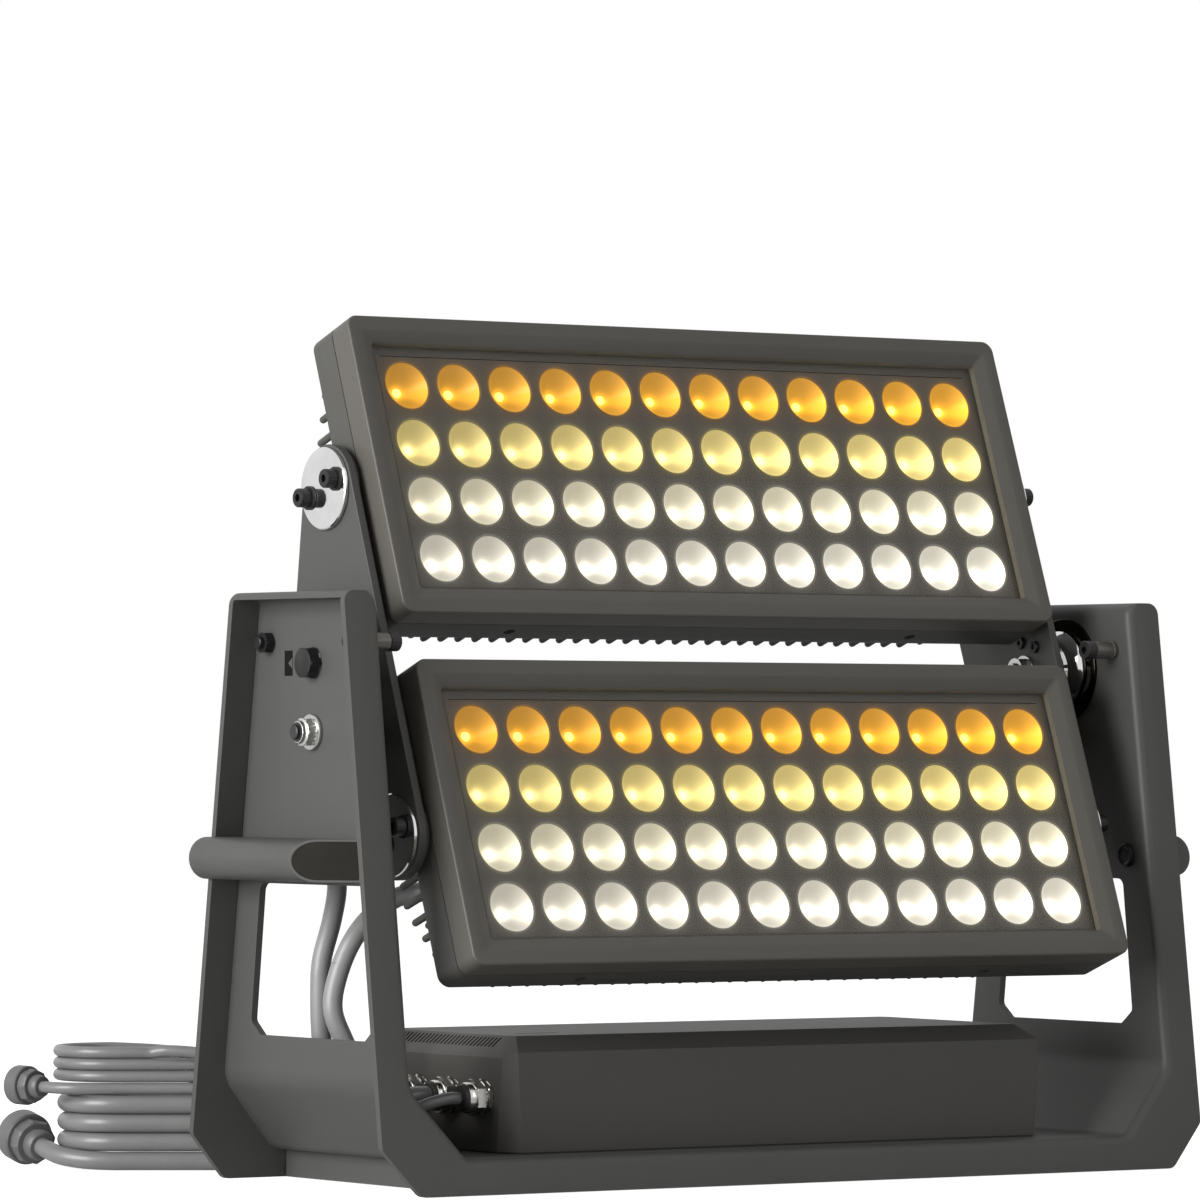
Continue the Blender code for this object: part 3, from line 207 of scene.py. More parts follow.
def tube(points, radius, sides=20):
    """A round tube along its points, closed at both ends."""
    shape = bmesh.new()
    side = Vector((0.0, 0.0, 1.0))
    rings = []
    for index, point in enumerate(points):
        way = (points[min(index + 1, len(points) - 1)] - points[max(index - 1, 0)]).normalized()
        side = (side - way * side.dot(way)).normalized()
        other = way.cross(side)
        ring = []
        for step in range(sides):
            angle = 2 * math.pi * step / sides
            ring.append(shape.verts.new(point + radius * (side * math.cos(angle) + other * math.sin(angle))))
        rings.append(ring)
    for low, high in zip(rings, rings[1:]):
        for index in range(sides):
            after = (index + 1) % sides
            shape.faces.new((low[index], low[after], high[after], high[index]))
    shape.faces.new(rings[0])
    shape.faces.new(rings[-1])
    bmesh.ops.recalc_face_normals(shape, faces=shape.faces)
    return shape


hank_point = Vector((-0.3204, 0.2384, 0.0))
hank_side = Vector((0.853, -0.522, 0.0)).normalized()
hank_away = Vector((-hank_side.y, hank_side.x, 0.0))
hank_fold, hank_right, hank_levels, hank_end, hank_sag_start = 0.039, 0.1838, 4, 0.012, 0.07


def hank_place(along, away, z):
    """A place on the hank, along its near side and away from the viewer's side."""
    point = hank_point + hank_side * along + hank_away * away
    return Vector((point.x, point.y, z))


def ease(part):
    """A smooth step from 0 to 1."""
    part = min(1.0, max(0.0, part))
    return part * part * (3 - 2 * part)


def hank_points(start, left, lowest, step, sag):
    """One unbroken cable in oblong loops, one loop on each level, from the top level down."""
    points = []
    for level in reversed(range(hank_levels)):
        z = lowest + level * step
        first = level == hank_levels - 1
        last = level == 0
        near_start = start if first else hank_right
        near_end = hank_end if last else left
        stations = [hank_right + (left - hank_right) * index / 5 for index in range(6)]
        between = [along for along in stations if near_end < along < near_start]
        for along in [near_start] + between + [near_end]:
            drop = 0.0 if first else sag * ease((along - hank_sag_start) / (hank_right - hank_sag_start))
            points.append(hank_place(along, 0.0, z - drop))
        if last:
            break
        for index in range(1, 8):
            angle = math.pi * index / 8
            points.append(hank_place(left - hank_fold * math.sin(angle), hank_fold * (1 - math.cos(angle)),
                                     z))
        for index in range(6):
            lower = z - (step + sag) * ease(index / 5)
            points.append(hank_place(left + (hank_right - left) * index / 5, 2 * hank_fold, lower))
        for index in range(1, 8):
            angle = math.pi * index / 8
            points.append(hank_place(hank_right + hank_fold * math.sin(angle),
                                     hank_fold * (1 + math.cos(angle)), z - step - sag))
    return points


def radius_at(corner, sides, angle):
    """The radius of a regular polygon at an angle, or of a circle where it has no sides."""
    if not sides:
        return corner
    part = 2 * math.pi / sides
    return corner * math.cos(part / 2) / math.cos(angle % part - part / 2)


knurl_depth = 0.00022


def turned(profile, place=(0.0, 0.0, 0.0), axis=(1.0, 0.0, 0.0), segments=48, hollow=False, knurl=(),
           target=None):
    """A turned piece: (distance along the axis, radius, sides or 0) for each ring.

    The rings that knurl names are ribbed round their rim.
    """
    turn = Vector((1.0, 0.0, 0.0)).rotation_difference(Vector(axis)).to_matrix().to_4x4()
    matrix = Matrix.Translation(place) @ turn
    shape = target or bmesh.new()
    rings = []
    for number, (along, radius, sides) in enumerate(profile):
        ring = []
        for step in range(segments):
            angle = 2 * math.pi * step / segments
            reach = radius_at(radius, sides, angle)
            if number in knurl and step % 2:
                reach -= knurl_depth
            spot = Vector((along, reach * math.cos(angle), reach * math.sin(angle)))
            ring.append(shape.verts.new(matrix @ spot))
        rings.append(ring)
    faces = []
    for low, high in zip(rings, rings[1:] + rings[:1] if hollow else rings[1:]):
        for index in range(segments):
            after = (index + 1) % segments
            faces.append(shape.faces.new((low[index], low[after], high[after], high[index])))
    if not hollow:
        faces.append(shape.faces.new(rings[0]))
        faces.append(shape.faces.new(rings[-1]))
    bmesh.ops.recalc_face_normals(shape, faces=faces)
    return shape


sheath_grey = mottled("grey cable sheath", (0.165, 0.165, 0.164), (0.19, 0.19, 0.189), patch=22.0,
                      grain=420.0, relief=0.03, gloss=(0.28, 0.36), rub=(0.21, 0.21, 0.21))
moulded_grey = mottled("grey moulded connector", (0.105, 0.105, 0.105), (0.125, 0.125, 0.124), patch=30.0,
                       grain=1300.0, relief=0.06, gloss=(0.4, 0.52))
box_end_x, gland_height, gland_tip_x = -0.225, 0.061, -0.2453


def connector(name, place, way, radius, body):
    """A cable connector: back nut, eight-sided grip and a round collar that is open in front."""
    long = 1.9 * radius
    grip = 0.87 * radius
    nut = 0.6 * radius
    profile = [(0.0, 0.5 * radius, 0), (0.02 * long, 0.54 * radius, 0), (0.1 * long, nut * 0.99, 0),
               (0.13 * long, nut, 0), (0.24 * long, nut, 0), (0.27 * long, nut * 0.96, 0),
               (0.27 * long, grip * 0.9, 0), (0.31 * long, grip, 8), (0.53 * long, grip, 8),
               (0.56 * long, grip * 0.93, 0), (0.56 * long, 0.94 * radius, 0), (0.59 * long, radius, 0),
               (0.96 * long, radius, 0), (long, 0.97 * radius, 0), (long, 0.82 * radius, 0),
               (0.97 * long, 0.8 * radius, 0), (0.7 * long, 0.8 * radius, 0), (0.7 * long, 0.56 * radius, 0),
               (0.9 * long, 0.55 * radius, 0), (0.92 * long, 0.52 * radius, 0)]
    shape = turned(profile, place, way, segments=64)
    pin = 0.075 * radius
    turn = Vector((1.0, 0.0, 0.0)).rotation_difference(way).to_matrix()
    for step in range(3):
        angle = 2 * math.pi * step / 3 + 0.4
        offset = turn @ Vector((0.0, math.cos(angle), math.sin(angle))) * 0.27 * radius
        turned([(0.91 * long, pin, 0), (1.0 * long, pin, 0), (1.02 * long, 0.6 * pin, 0)], place + offset,
               way, segments=12, target=shape)
    return piece(name, shape, moulded_grey, "yoke", body, smooth=28.0)


def free_cable(name, leave, hank, arrive, radius, plug_radius):
    """One cable from its gland to its connector."""
    route = smooth_route(leave + hank[1:] + arrive[1:], 0.0032)
    way = (route[-1] - route[-2]).normalized()
    plug = connector(name + "_connector_body", route[-1] - way * 0.0005, way, plug_radius,
                     name + "_connector")
    cable = piece(name + "_cable", tube(route, radius), sheath_grey, "yoke",
                  (name + "_cord", name + "_hank", name + "_cord_end"), smooth=60.0)


power_radius, data_radius = 0.00645, 0.0041
power_lowest, power_step = 0.0064, 0.013
power_top = power_lowest + 3 * power_step
free_cable(
    "power",
    [Vector(point) for point in (
        (gland_tip_x, -0.024, gland_height), (-0.2553, -0.024, gland_height), (-0.272, -0.019, 0.0575),
        (-0.2815, -0.006, 0.051), (-0.2845, 0.012, 0.0455), (-0.281, 0.037, 0.0405),
        (-0.2745, 0.064, 0.0345), (-0.268, 0.09, 0.0312), (-0.262, 0.118, 0.0312),
        (-0.257, 0.145, 0.035), (-0.2575, 0.168, 0.0415), (-0.2645, 0.191, 0.0442),
        hank_place(0.0575, 0.0, power_top), hank_place(0.045, 0.0, power_top))],
    hank_points(0.045, -0.0062, power_lowest, power_step, 0.0),
    [hank_place(hank_end, 0.0, power_lowest), hank_place(-0.0005, 0.0, power_lowest),
     hank_place(-0.0135, 0.0, 0.0064), hank_place(-0.032, 0.004, 0.0071), hank_place(-0.048, 0.014, 0.0092),
     hank_place(-0.0561, 0.025, 0.0118), hank_place(-0.062, 0.0352, 0.0143)],
    power_radius, 0.0183)
data_lowest = power_top + 0.0113
data_step, data_sag = 0.0083, 0.013
data_top = data_lowest + 3 * data_step
free_cable(
    "data",
    [Vector(point) for point in (
        (gland_tip_x, -0.063, gland_height), (-0.2533, -0.063, gland_height), (-0.27, -0.059, 0.0565),
        (-0.2805, -0.047, 0.048), (-0.2815, -0.03, 0.04), (-0.274, -0.008, 0.032),
        (-0.265, 0.014, 0.0286), (-0.255, 0.04, 0.0286), (-0.249, 0.07, 0.0286),
        (-0.2455, 0.1, 0.0288), (-0.244, 0.125, 0.034), (-0.247, 0.15, 0.05),
        (-0.254, 0.174, 0.0665), (-0.266, 0.194, 0.077), (-0.285, 0.2085, 0.0818),
        (-0.302, 0.2225, 0.083), hank_place(0.0145, 0.0, data_top), hank_place(0.006, 0.0, data_top))],
    hank_points(0.006, -0.0115, data_lowest, data_step, data_sag),
    [hank_place(hank_end, 0.0, data_lowest), hank_place(0.0038, 0.0, data_lowest),
     hank_place(-0.0323, 0.0, data_lowest), hank_place(-0.045, 0.0026, data_lowest),
     hank_place(-0.0556, 0.0097, data_lowest + 0.0002), hank_place(-0.0615, 0.0156, data_lowest + 0.0004)],
    data_radius, 0.0137)


# The studio: a plain pale floor under the lamp, white all round, a large soft lamp at the left and a weaker
# one in front.
def soft_lamp(name, place, aim, size, power):
    """A large square lamp that faces a point."""
    data = bpy.data.lights.new(name, "AREA")
    data.shape = "SQUARE"
    data.size = size
    data.energy = power
    item = new_object(name, data)
    item.location = place
    item.rotation_mode = "QUATERNION"
    item.rotation_quaternion = (Vector(aim) - Vector(place)).to_track_quat("-Z", "Y")


white = (1.0, 1.0, 1.0, 1.0)
mirrored_light, fill_light, floor_glow = 0.9, 0.2, 0.86
surround = bpy.data.worlds.new("studio")
surround.use_nodes = True
scene.world = surround
tree = surround.node_tree
seen = add(tree, "ShaderNodeLightPath").outputs
straight = calculate(tree, "MAXIMUM", seen["Is Camera Ray"], seen["Is Transmission Ray"])
glossy = calculate(tree, "MULTIPLY", seen["Is Glossy Ray"], mirrored_light)
light = calculate(tree, "MAXIMUM", calculate(tree, "MAXIMUM", straight, glossy), fill_light)
feed(tree, tree.nodes["Background"], {"Color": white, "Strength": light})
lamp_aim = (0.0, 0.0, 0.25)
soft_lamp("left_lamp", (-3.7, -0.35, 1.25), lamp_aim, 2.4, 190.0)
soft_lamp("front_lamp", (0.8, -3.8, 1.6), lamp_aim, 2.2, 14.0)

floor_shape = bmesh.new()
bmesh.ops.create_grid(floor_shape, x_segments=1, y_segments=1, size=12.0)
floor = new_object("floor", mesh_of("floor", floor_shape))
floor_white, tree, shader = new_material("pale floor", 0.9, specular=0.0)
seen = add(tree, "ShaderNodeLightPath").outputs
feed(tree, shader, {"Base Color": (0.9, 0.9, 0.9, 1.0), "Emission Color": white,
                    "Emission Strength": calculate(tree, "MULTIPLY", seen["Is Camera Ray"], floor_glow)})
floor.data.materials.append(floor_white)
floor.location.z = -0.0006


# The yoke: 5 mm steel sheet bent into a U, its edges turned outwards as flanges, windows and bolt holes cut
# through its sides, powder coated in fine dark grey.
def loft(rings, ring_closed=False, target=None):
    """Skins a row of point rings, with flat ends unless the row closes on itself."""
    shape = target or bmesh.new()
    loops = [[shape.verts.new(point) for point in ring] for ring in rings]
    faces = []
    for low, high in zip(loops, loops[1:] + loops[:1] if ring_closed else loops[1:]):
        for index in range(len(low)):
            after = (index + 1) % len(low)
            faces.append(shape.faces.new((low[index], low[after], high[after], high[index])))
    if not ring_closed:
        faces.append(shape.faces.new(loops[0]))
        faces.append(shape.faces.new(loops[-1]))
    bmesh.ops.recalc_face_normals(shape, faces=faces)
    return shape


def arc_points(centre, radius, start, end, steps):
    """Points on an arc, both ends included."""
    points = []
    for step in range(steps + 1):
        angle = start + (end - start) * step / steps
        points.append((centre[0] + radius * math.cos(angle), centre[1] + radius * math.sin(angle)))
    return points


def rod(x0, x1, y, z, radius, segments=40, target=None):
    """A round bar along X."""
    return turned([(x0, radius, 0), (x1, radius, 0)], (0.0, y, z), segments=segments, target=target)


def plain_mesh(item):
    """An object's mesh with its modifiers applied."""
    graph = bpy.context.evaluated_depsgraph_get()
    graph.update()
    return bpy.data.meshes.new_from_object(item.evaluated_get(graph))


def blank(name, shape):
    """A plain object to cut before it becomes a piece."""
    return new_object(name, mesh_of(name, shape))


def carve(item, shape, operation="DIFFERENCE"):
    """Cuts a shape from a piece's mesh, or joins it on, and keeps the result as a plain mesh."""
    cutter = blank("cutter", shape)
    change = item.modifiers.new("cut", "BOOLEAN")
    change.operation = operation
    change.solver = "EXACT"
    change.object = cutter
    carved = plain_mesh(item)
    item.modifiers.remove(change)
    item.data = carved
    bpy.data.objects.remove(cutter, do_unlink=True)


def finish_blank(item, name, material, body, stands_for=(), smooth=30.0, rounding=0.0):
    """Takes a cut blank's mesh as a finished piece."""
    mesh = item.data
    bpy.data.objects.remove(item, do_unlink=True)
    mesh.name = name
    return piece(name, mesh, material, body, stands_for, smooth, rounding)


def coat_node(name, material):
    """Gives a finish to a CAD node that no piece replaces."""
    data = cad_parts[name].data
    data.materials.clear()
    data.materials.append(material)


sheet, fold = 0.005, 0.01
yoke_inner, yoke_outer, yoke_top = 0.3165, 0.3433, 0.3986
web_face = yoke_inner + sheet
web_front = web_face + 0.0003
base_top, base_half, slope_top = 0.024, 0.276, 0.07
foot_half, foot_top = 0.3152, 0.0315
arm_axis_z = 0.351
bolt_bore, screw_bore = 0.0053, 0.0043
handle_z, handle_radius, handle_nose = 0.2193, 0.0143, 0.358
lock_radius = 0.0463
stop_y, stop_z = 0.055, 0.365
handle_bolts_y = (0.072, -0.045)
powder_coat = mottled("dark grey powder coat", (0.06, 0.06, 0.057), (0.066, 0.066, 0.063), patch=7.0,
                      grain=1500.0, relief=0.06, depth=0.0001, gloss=(0.46, 0.56), specular=0.4,
                      rub=(0.069, 0.069, 0.066))


def yoke_half_depth(z):
    """Half the yoke's depth at a height."""
    return 0.126 - 0.1363 * z


def fillet(before, corner, after, radius, steps):
    """An arc of points in place of a corner between two neighbours."""
    spot = Vector(corner)
    to_before = (Vector(before) - spot).normalized()
    to_after = (Vector(after) - spot).normalized()
    half = to_before.angle(to_after) / 2
    middle = spot + (to_before + to_after).normalized() * radius / math.sin(half)
    first = spot + to_before * radius / math.tan(half) - middle
    last = spot + to_after * radius / math.tan(half) - middle
    return [tuple(middle + first.slerp(last, step / steps) * radius) for step in range(steps + 1)]


def yoke_inner_path(offset):
    """The inside line of the U from the left top to the right top, moved outwards by an offset.

    It bends softly from the base to the slopes, and from the slopes to the sides.
    """
    slope = math.atan2(yoke_inner - base_half, slope_top - base_top)
    bend = (yoke_inner + offset, slope_top - offset * math.tan(slope / 2))
    foot = (base_half + offset * math.tan((math.pi / 2 - slope) / 2), base_top - offset)
    right = fillet((0.0, foot[1]), foot, bend, fold + offset, 4)
    right += fillet(foot, bend, (bend[0], yoke_top), 0.02 + offset, 5)
    return [(-x, z) for x, z in reversed(right)] + right


def side_top(offset, drop=0.0):
    """The rounded top of the right side, where the web bends over into the top flange."""
    points = []
    for step in range(6):
        angle = math.pi / 2 * step / 5
        points.append((yoke_inner + fold - (fold - offset) * math.cos(angle),
                       yoke_top - fold + (fold - drop) * math.sin(angle)))
    return points


def yoke_outline(offset):
    """The front view of the U, with its inside line moved outwards by an offset."""
    right = side_top(offset)
    right += arc_points((yoke_outer - 0.008, yoke_top - 0.008), 0.008, math.pi / 2, 0.0, 7)
    right += fillet((yoke_outer, yoke_top), (yoke_outer, foot_top), (foot_half, 0.0), 0.006, 3)
    right += fillet((yoke_outer, foot_top), (foot_half, 0.0), (0.0, 0.0), 0.008, 3)
    left = [(-x, z) for x, z in reversed(right)]
    return yoke_inner_path(offset) + right + left


def leaning_ring(outline, side, depth):
    """A ring of the outline on a leaning flange, a depth behind its outer face."""
    return [(x, side * (yoke_half_depth(z) - depth), z) for x, z in outline]


def handle_outline(grow=0.0):
    """The half-round section of the left handle, from its flat side, grown or shrunk all round."""
    flat = web_front - grow
    radius = handle_radius + grow
    middle = (handle_nose - handle_radius, handle_z)
    points = [(-x, z) for x, z in arc_points(middle, radius, -math.pi / 2, math.pi / 2, 20)]
    return [(-flat, handle_z - radius)] + points + [(-flat, handle_z + radius)]


def bend_rings(bend=0.006):
    """The yoke's sections from its front face to its rear one, round both bends."""
    rings = []
    angles = [math.radians(15 * step) for step in range(7)]
    for side, row in ((-1, angles), (1, list(reversed(angles)))):
        for angle in row:
            outline = yoke_outline(bend * (1 - math.sin(angle)))
            rings.append(leaning_ring(outline, side, bend * (1 - math.cos(angle))))
    return rings


def box_bar(x0, x1, y0, y1, z0, z1, target):
    """A square bar between two heights."""
    corners = ((x0, y0), (x1, y0), (x1, y1), (x0, y1))
    return loft([[(x, y, z) for x, y in corners] for z in (z0, z1)], target=target)


yoke = blank("yoke_blank", loft(bend_rings()))
beyond, shelf = yoke_outer + 0.04, yoke_top - sheet
right = side_top(sheet, sheet)
void = [(-x, z) for x, z in reversed(right)] + yoke_inner_path(sheet) + right
void += [(beyond, shelf), (beyond, -0.04), (-beyond, -0.04), (-beyond, shelf)]
carve(yoke, loft([leaning_ring(void, -1, sheet), leaning_ring(void, 1, sheet)]))
holes = bmesh.new()
window_half = [(0.065, 0.1), (0.0755, 0.108), (0.0768, 0.1095), (0.0771, 0.1115)]
window_half += arc_points((0.0608, 0.1965), 0.0062, math.radians(8), math.radians(90), 6)
window = [(-y, z) for y, z in window_half] + [(y, z) for y, z in reversed(window_half)]
for side in (-1, 1):
    x0, x1 = side * (yoke_inner - 0.012), side * (web_face + 0.012)
    loft([[(x, y, z) for y, z in window] for x in (x0, x1)], target=holes)
    rod(x0, x1, 0.0, arm_axis_z, bolt_bore, target=holes)
    rod(x0, x1, 0.0, arm_axis_z - lock_radius, bolt_bore, target=holes)
    for y in (-stop_y, stop_y):
        rod(x0, x1, y, stop_z, screw_bore, target=holes)
    for y in handle_bolts_y:
        rod(x0, x1, -side * y, handle_z, screw_bore, target=holes)
# The left handle passes a close notch in the rear flange.
loft([[(x, y, z) for x, z in handle_outline(-0.0001)] for y in (0.075, 0.107)], target=holes)
carve(yoke, holes)
slits = bmesh.new()
for x0, x1, y0 in ((-0.262, -0.243, -0.106), (0.243, 0.263, -0.09)):
    box_bar(x0, x1, y0, y0 + 0.0022, base_top - 0.0015, base_top + 0.004, slits)
carve(yoke, slits)
finish_blank(yoke, "yoke_sheet", powder_coat, "yoke", "yoke_bracket", 25.0, 0.0006)
for side in ("left", "right"):
    coat_node("foot_bar_" + side, powder_coat)


# The handles: half-round aluminium bars, one on each side, the slanted front end with a shallow pocket
# closed by a dark plug of painted shade, which stands for the shade inside a hollow end. Two black screws
# from inside the yoke hold each one.
handle_coat = mottled("dark grey coat on the handles", (0.06, 0.06, 0.057), (0.07, 0.07, 0.067), patch=14.0,
                      grain=1500.0, relief=0.2, depth=0.0002, gloss=(0.44, 0.56), specular=0.42,
                      rub=(0.085, 0.085, 0.082))
black_oxide = mottled("black oxide steel", (0.012, 0.012, 0.012), (0.02, 0.02, 0.02), patch=60.0,
                      grain=2200.0, relief=0.12, gloss=(0.3, 0.42), metallic=0.35, rub=(0.03, 0.03, 0.03))
plug_painted_shade = mottled("dark end plug of painted shade", (0.023, 0.021, 0.018), (0.029, 0.027, 0.023), patch=40.0,
                    grain=700.0, relief=0.04, gloss=(0.85, 0.95), specular=0.08)
handle_front, nose_front = -0.063, -0.028
mitre = (nose_front - handle_front) / (handle_nose - web_front)


def slanted(outline, side, deep):
    """A ring of a handle's section along its slanted front end, a depth behind it."""
    return [(-side * x, -side * (handle_front + deep + mitre * (-x - web_front)), z) for x, z in outline]


def handle_end(side, z):
    """The left handle's square end is past the rear flange, the right one's is against the front flange."""
    return 0.0995 if side == -1 else yoke_half_depth(z) - sheet - 0.0002


def socket_screw(x_low, x_high, head_radius, head_length, shank, socket=0.45):
    """A turned profile of a screw along +X whose head, with its six-sided socket, is at the low end."""
    edge = 0.0006
    depth = 0.55 * head_length
    return [(x_low + depth, 0.0008, 0), (x_low + depth, socket * head_radius, 6),
            (x_low, socket * head_radius, 6), (x_low, head_radius - edge, 0), (x_low + edge, head_radius, 0),
            (x_low + head_length, head_radius, 0), (x_low + head_length, shank, 0), (x_high, shank, 0)]


def fitting(name, profile, side, place, material, body, stands_for=(), slot=None, smooth=28.0, matrix=None,
            **ways):
    """A turned piece on the left (-1) or right (1) side, its profile measured outwards from the middle."""
    shape = turned([(side * along, radius, sides) for along, radius, sides in profile], place, **ways)
    if matrix:
        shape.transform(matrix)
    return piece(name, shape, material, body, stands_for, smooth)


handle_screw = [(along + yoke_inner - 0.0003, radius, 0) for along, radius in (
    (-0.0022, 0.005), (-0.003, 0.0062), (-0.003, 0.0076), (-0.0024, 0.0084), (0.0, 0.0084), (0.0, 0.004),
    (0.0158, 0.004))]
for name, side in (("left", -1), ("right", 1)):
    outer = handle_outline()
    square_end = [(-side * x, -side * handle_end(side, z), z) for x, z in outer]
    bar = blank("bar", loft([slanted(outer, side, 0.0), square_end]))
    recess = handle_outline(-0.0016)
    carve(bar, loft([slanted(recess, side, -0.02), slanted(recess, side, 0.0008)]))
    bores = bmesh.new()
    for y in handle_bolts_y:
        rod(side * (web_front - 0.005), side * 0.333, -side * y, handle_z, screw_bore, target=bores)
    carve(bar, bores)
    # A dark plug of painted shade, just inside the slanted end.
    plug = loft([slanted(handle_outline(-0.0017), side, deep) for deep in (0.0002, 0.0007)])
    piece("handle_shade_plug_" + name, plug, plug_painted_shade, "yoke", smooth=30.0)
    finish_blank(bar, "handle_bar_" + name, handle_coat, "yoke", "handle_" + name,
                 rounding=0.0005)
    for end, y in zip(("a", "b"), handle_bolts_y):
        fitting(f"handle_screw_{name}_{end}", handle_screw, side, (0.0, -side * y, handle_z), black_oxide,
                "yoke", f"handle_bolt_{name}_{end}", "black_oxide_steel", 30.0)


# The main axis in each web: black pivot bolt, plated lock bolt with its self-locking nut, two black stop
# bolts, and the dark friction disc behind the web.
zinc = mottled("bright zinc plate", (0.64, 0.64, 0.62), (0.7, 0.7, 0.68), patch=80.0, grain=1800.0,
               relief=0.01, gloss=(0.2, 0.28), metallic=1.0)
sleeve_grey = mottled("grey steel sleeve", (0.11, 0.106, 0.096), (0.14, 0.135, 0.122), patch=60.0,
                      grain=1200.0, relief=0.03, gloss=(0.3, 0.4), metallic=0.6)
disc_dark = mottled("dark burnished steel disc", (0.024, 0.021, 0.017), (0.034, 0.03, 0.024), patch=50.0,
                    grain=800.0, relief=0.02, gloss=(0.16, 0.24), metallic=1.0)
window_dark = mottled("unlit inside of the angle window", (0.007, 0.007, 0.006), (0.012, 0.011, 0.01),
                      patch=60.0, grain=700.0, relief=0.04, gloss=(0.85, 0.95), specular=0.05)
nylon = mottled("dark nylon insert", (0.012, 0.012, 0.014), (0.022, 0.022, 0.024), patch=90.0, grain=900.0,
                relief=0.1, gloss=(0.4, 0.5))
hub_foot, nut_end = 0.287, 0.2804
pivot_nut = [(0.268, 0.0042, 0), (0.2688, 0.005, 0), (0.2705, 0.005, 0), (0.2705, 0.0084, 0),
             (0.2712, 0.0092, 6), (0.278, 0.0092, 6), (0.2784, 0.0086, 0), (0.2784, 0.0103, 0),
             (0.2787, 0.0105, 0), (nut_end, 0.0105, 0)]
pivot_bolt = [(nut_end, 0.005, 0)] + [(web_front + along, radius, sides) for along, radius, sides in (
    (0.0, 0.005, 0), (0.0, 0.0106, 0), (0.0006, 0.0113, 6), (0.0072, 0.0113, 6), (0.0084, 0.01, 0),
    (0.0086, 0.0095, 0))]
lock_spacer = [(nut_end - 0.0024, 0.008, 0), (nut_end - 0.0021, 0.0085, 0), (nut_end, 0.0085, 0),
               (nut_end, 0.005, 0), (hub_foot, 0.005, 0), (hub_foot, 0.0088, 0), (0.2874, 0.009, 0),
               (0.3133, 0.009, 0), (0.3137, 0.0088, 0), (0.3137, 0.005, 0)]
lock_bolt = [(web_front + along, radius, sides) for along, radius, sides in (
    (0.0, 0.005, 0), (0.0, 0.0118, 0), (0.0004, 0.0121, 0), (0.0021, 0.0121, 0), (0.0025, 0.0118, 0),
    (0.0025, 0.0094, 0), (0.0033, 0.0102, 6), (0.0085, 0.0102, 6), (0.0093, 0.0093, 0), (0.01, 0.0078, 0),
    (0.0122, 0.0074, 0), (0.0124, 0.007, 0), (0.0124, 0.0052, 0))]
lock_tip = [(web_front + along, radius, 0) for along, radius in (
    (0.0119, 0.0068), (0.0129, 0.0066), (0.0129, 0.005), (0.015, 0.0049), (0.0155, 0.0042))]
stop_bolt = socket_screw(0.29, web_front, 0.0065, 0.008, 0.004)[:-1]
stop_bolt += [(web_front + along, radius, sides) for along, radius, sides in (
    (0.0, 0.004, 0), (0.0, 0.0068, 0), (0.0006, 0.0075, 6), (0.0058, 0.0075, 6), (0.0065, 0.0069, 0),
    (0.0065, 0.004, 0), (0.0097, 0.004, 0), (0.01, 0.0036, 0))]
stop_sleeve = [(0.2984, 0.0042, 0), (0.2984, 0.006, 0), (0.2987, 0.0063, 0), (0.313, 0.0063, 0),
               (0.3134, 0.0066, 0), (0.3161, 0.0066, 0), (0.3161, 0.0042, 0)]
friction_disc = [(0.314, bolt_bore, 0), (0.3162, bolt_bore, 0), (0.3162, 0.037, 0), (0.3143, 0.037, 0),
                 (0.314, 0.0366, 0)]
window_y = (0.026, 0.036)
pointer = [(window_y[0] - 0.0002, 0.3548), (window_y[0] - 0.0002, 0.3472), (window_y[0] + 0.005, 0.351)]
for name, side in (("left", -1), ("right", 1)):
    axis, lock = (0.0, 0.0, arm_axis_z), (0.0, 0.0, arm_axis_z - lock_radius)
    fitting("pivot_nut_" + name, pivot_nut, side, axis, zinc, "yoke")
    fitting("pivot_fastener_" + name, pivot_bolt, side, axis, black_oxide, "yoke", "pivot_bolt_" + name,
            "black_oxide_steel")
    fitting("lock_spacer_" + name, lock_spacer, side, lock, black_oxide, "yoke")
    fitting("lock_fastener_" + name, lock_bolt, side, lock, zinc, "yoke", "lock_bolt_" + name, "zinc_steel")
    fitting("lock_tip_" + name, lock_tip, side, lock, nylon, "yoke", smooth=30.0)
    for end, y in (("front", -stop_y), ("rear", stop_y)):
        fitting(f"stop_fastener_{name}_{end}", stop_bolt, side, (0.0, y, stop_z), black_oxide, "yoke",
                f"stop_bolt_{name}_{end}", "black_oxide_steel", knurl=(4, 5))
        fitting(f"stop_sleeve_{name}_{end}", stop_sleeve, side, (0.0, y, stop_z), sleeve_grey, "yoke",
                hollow=True)
    fitting("friction_lining_" + name, friction_disc, side, axis, disc_dark, "yoke", "friction_disc_" + name,
            "friction_lining", 30.0, segments=96, hollow=True)
    # The angle window beside the pivot bolt: a thin dark sheet of painted shade on the web stands for the
    # slot, with a small pointer in it.
    corners = [(window_y[0], 0.3425), (window_y[1], 0.3425), (window_y[1], 0.3595), (window_y[0], 0.3595)]
    for label, outline, depths, finish in (("window", corners, (-0.0002, 0.00015), window_dark),
                                           ("pointer", pointer, (0.0001, 0.0004), powder_coat)):
        shape = loft([[(side * (web_face + depth), y, z) for y, z in outline] for depth in depths])
        piece(f"angle_{label}_{name}", shape, finish, "yoke", smooth=30.0)


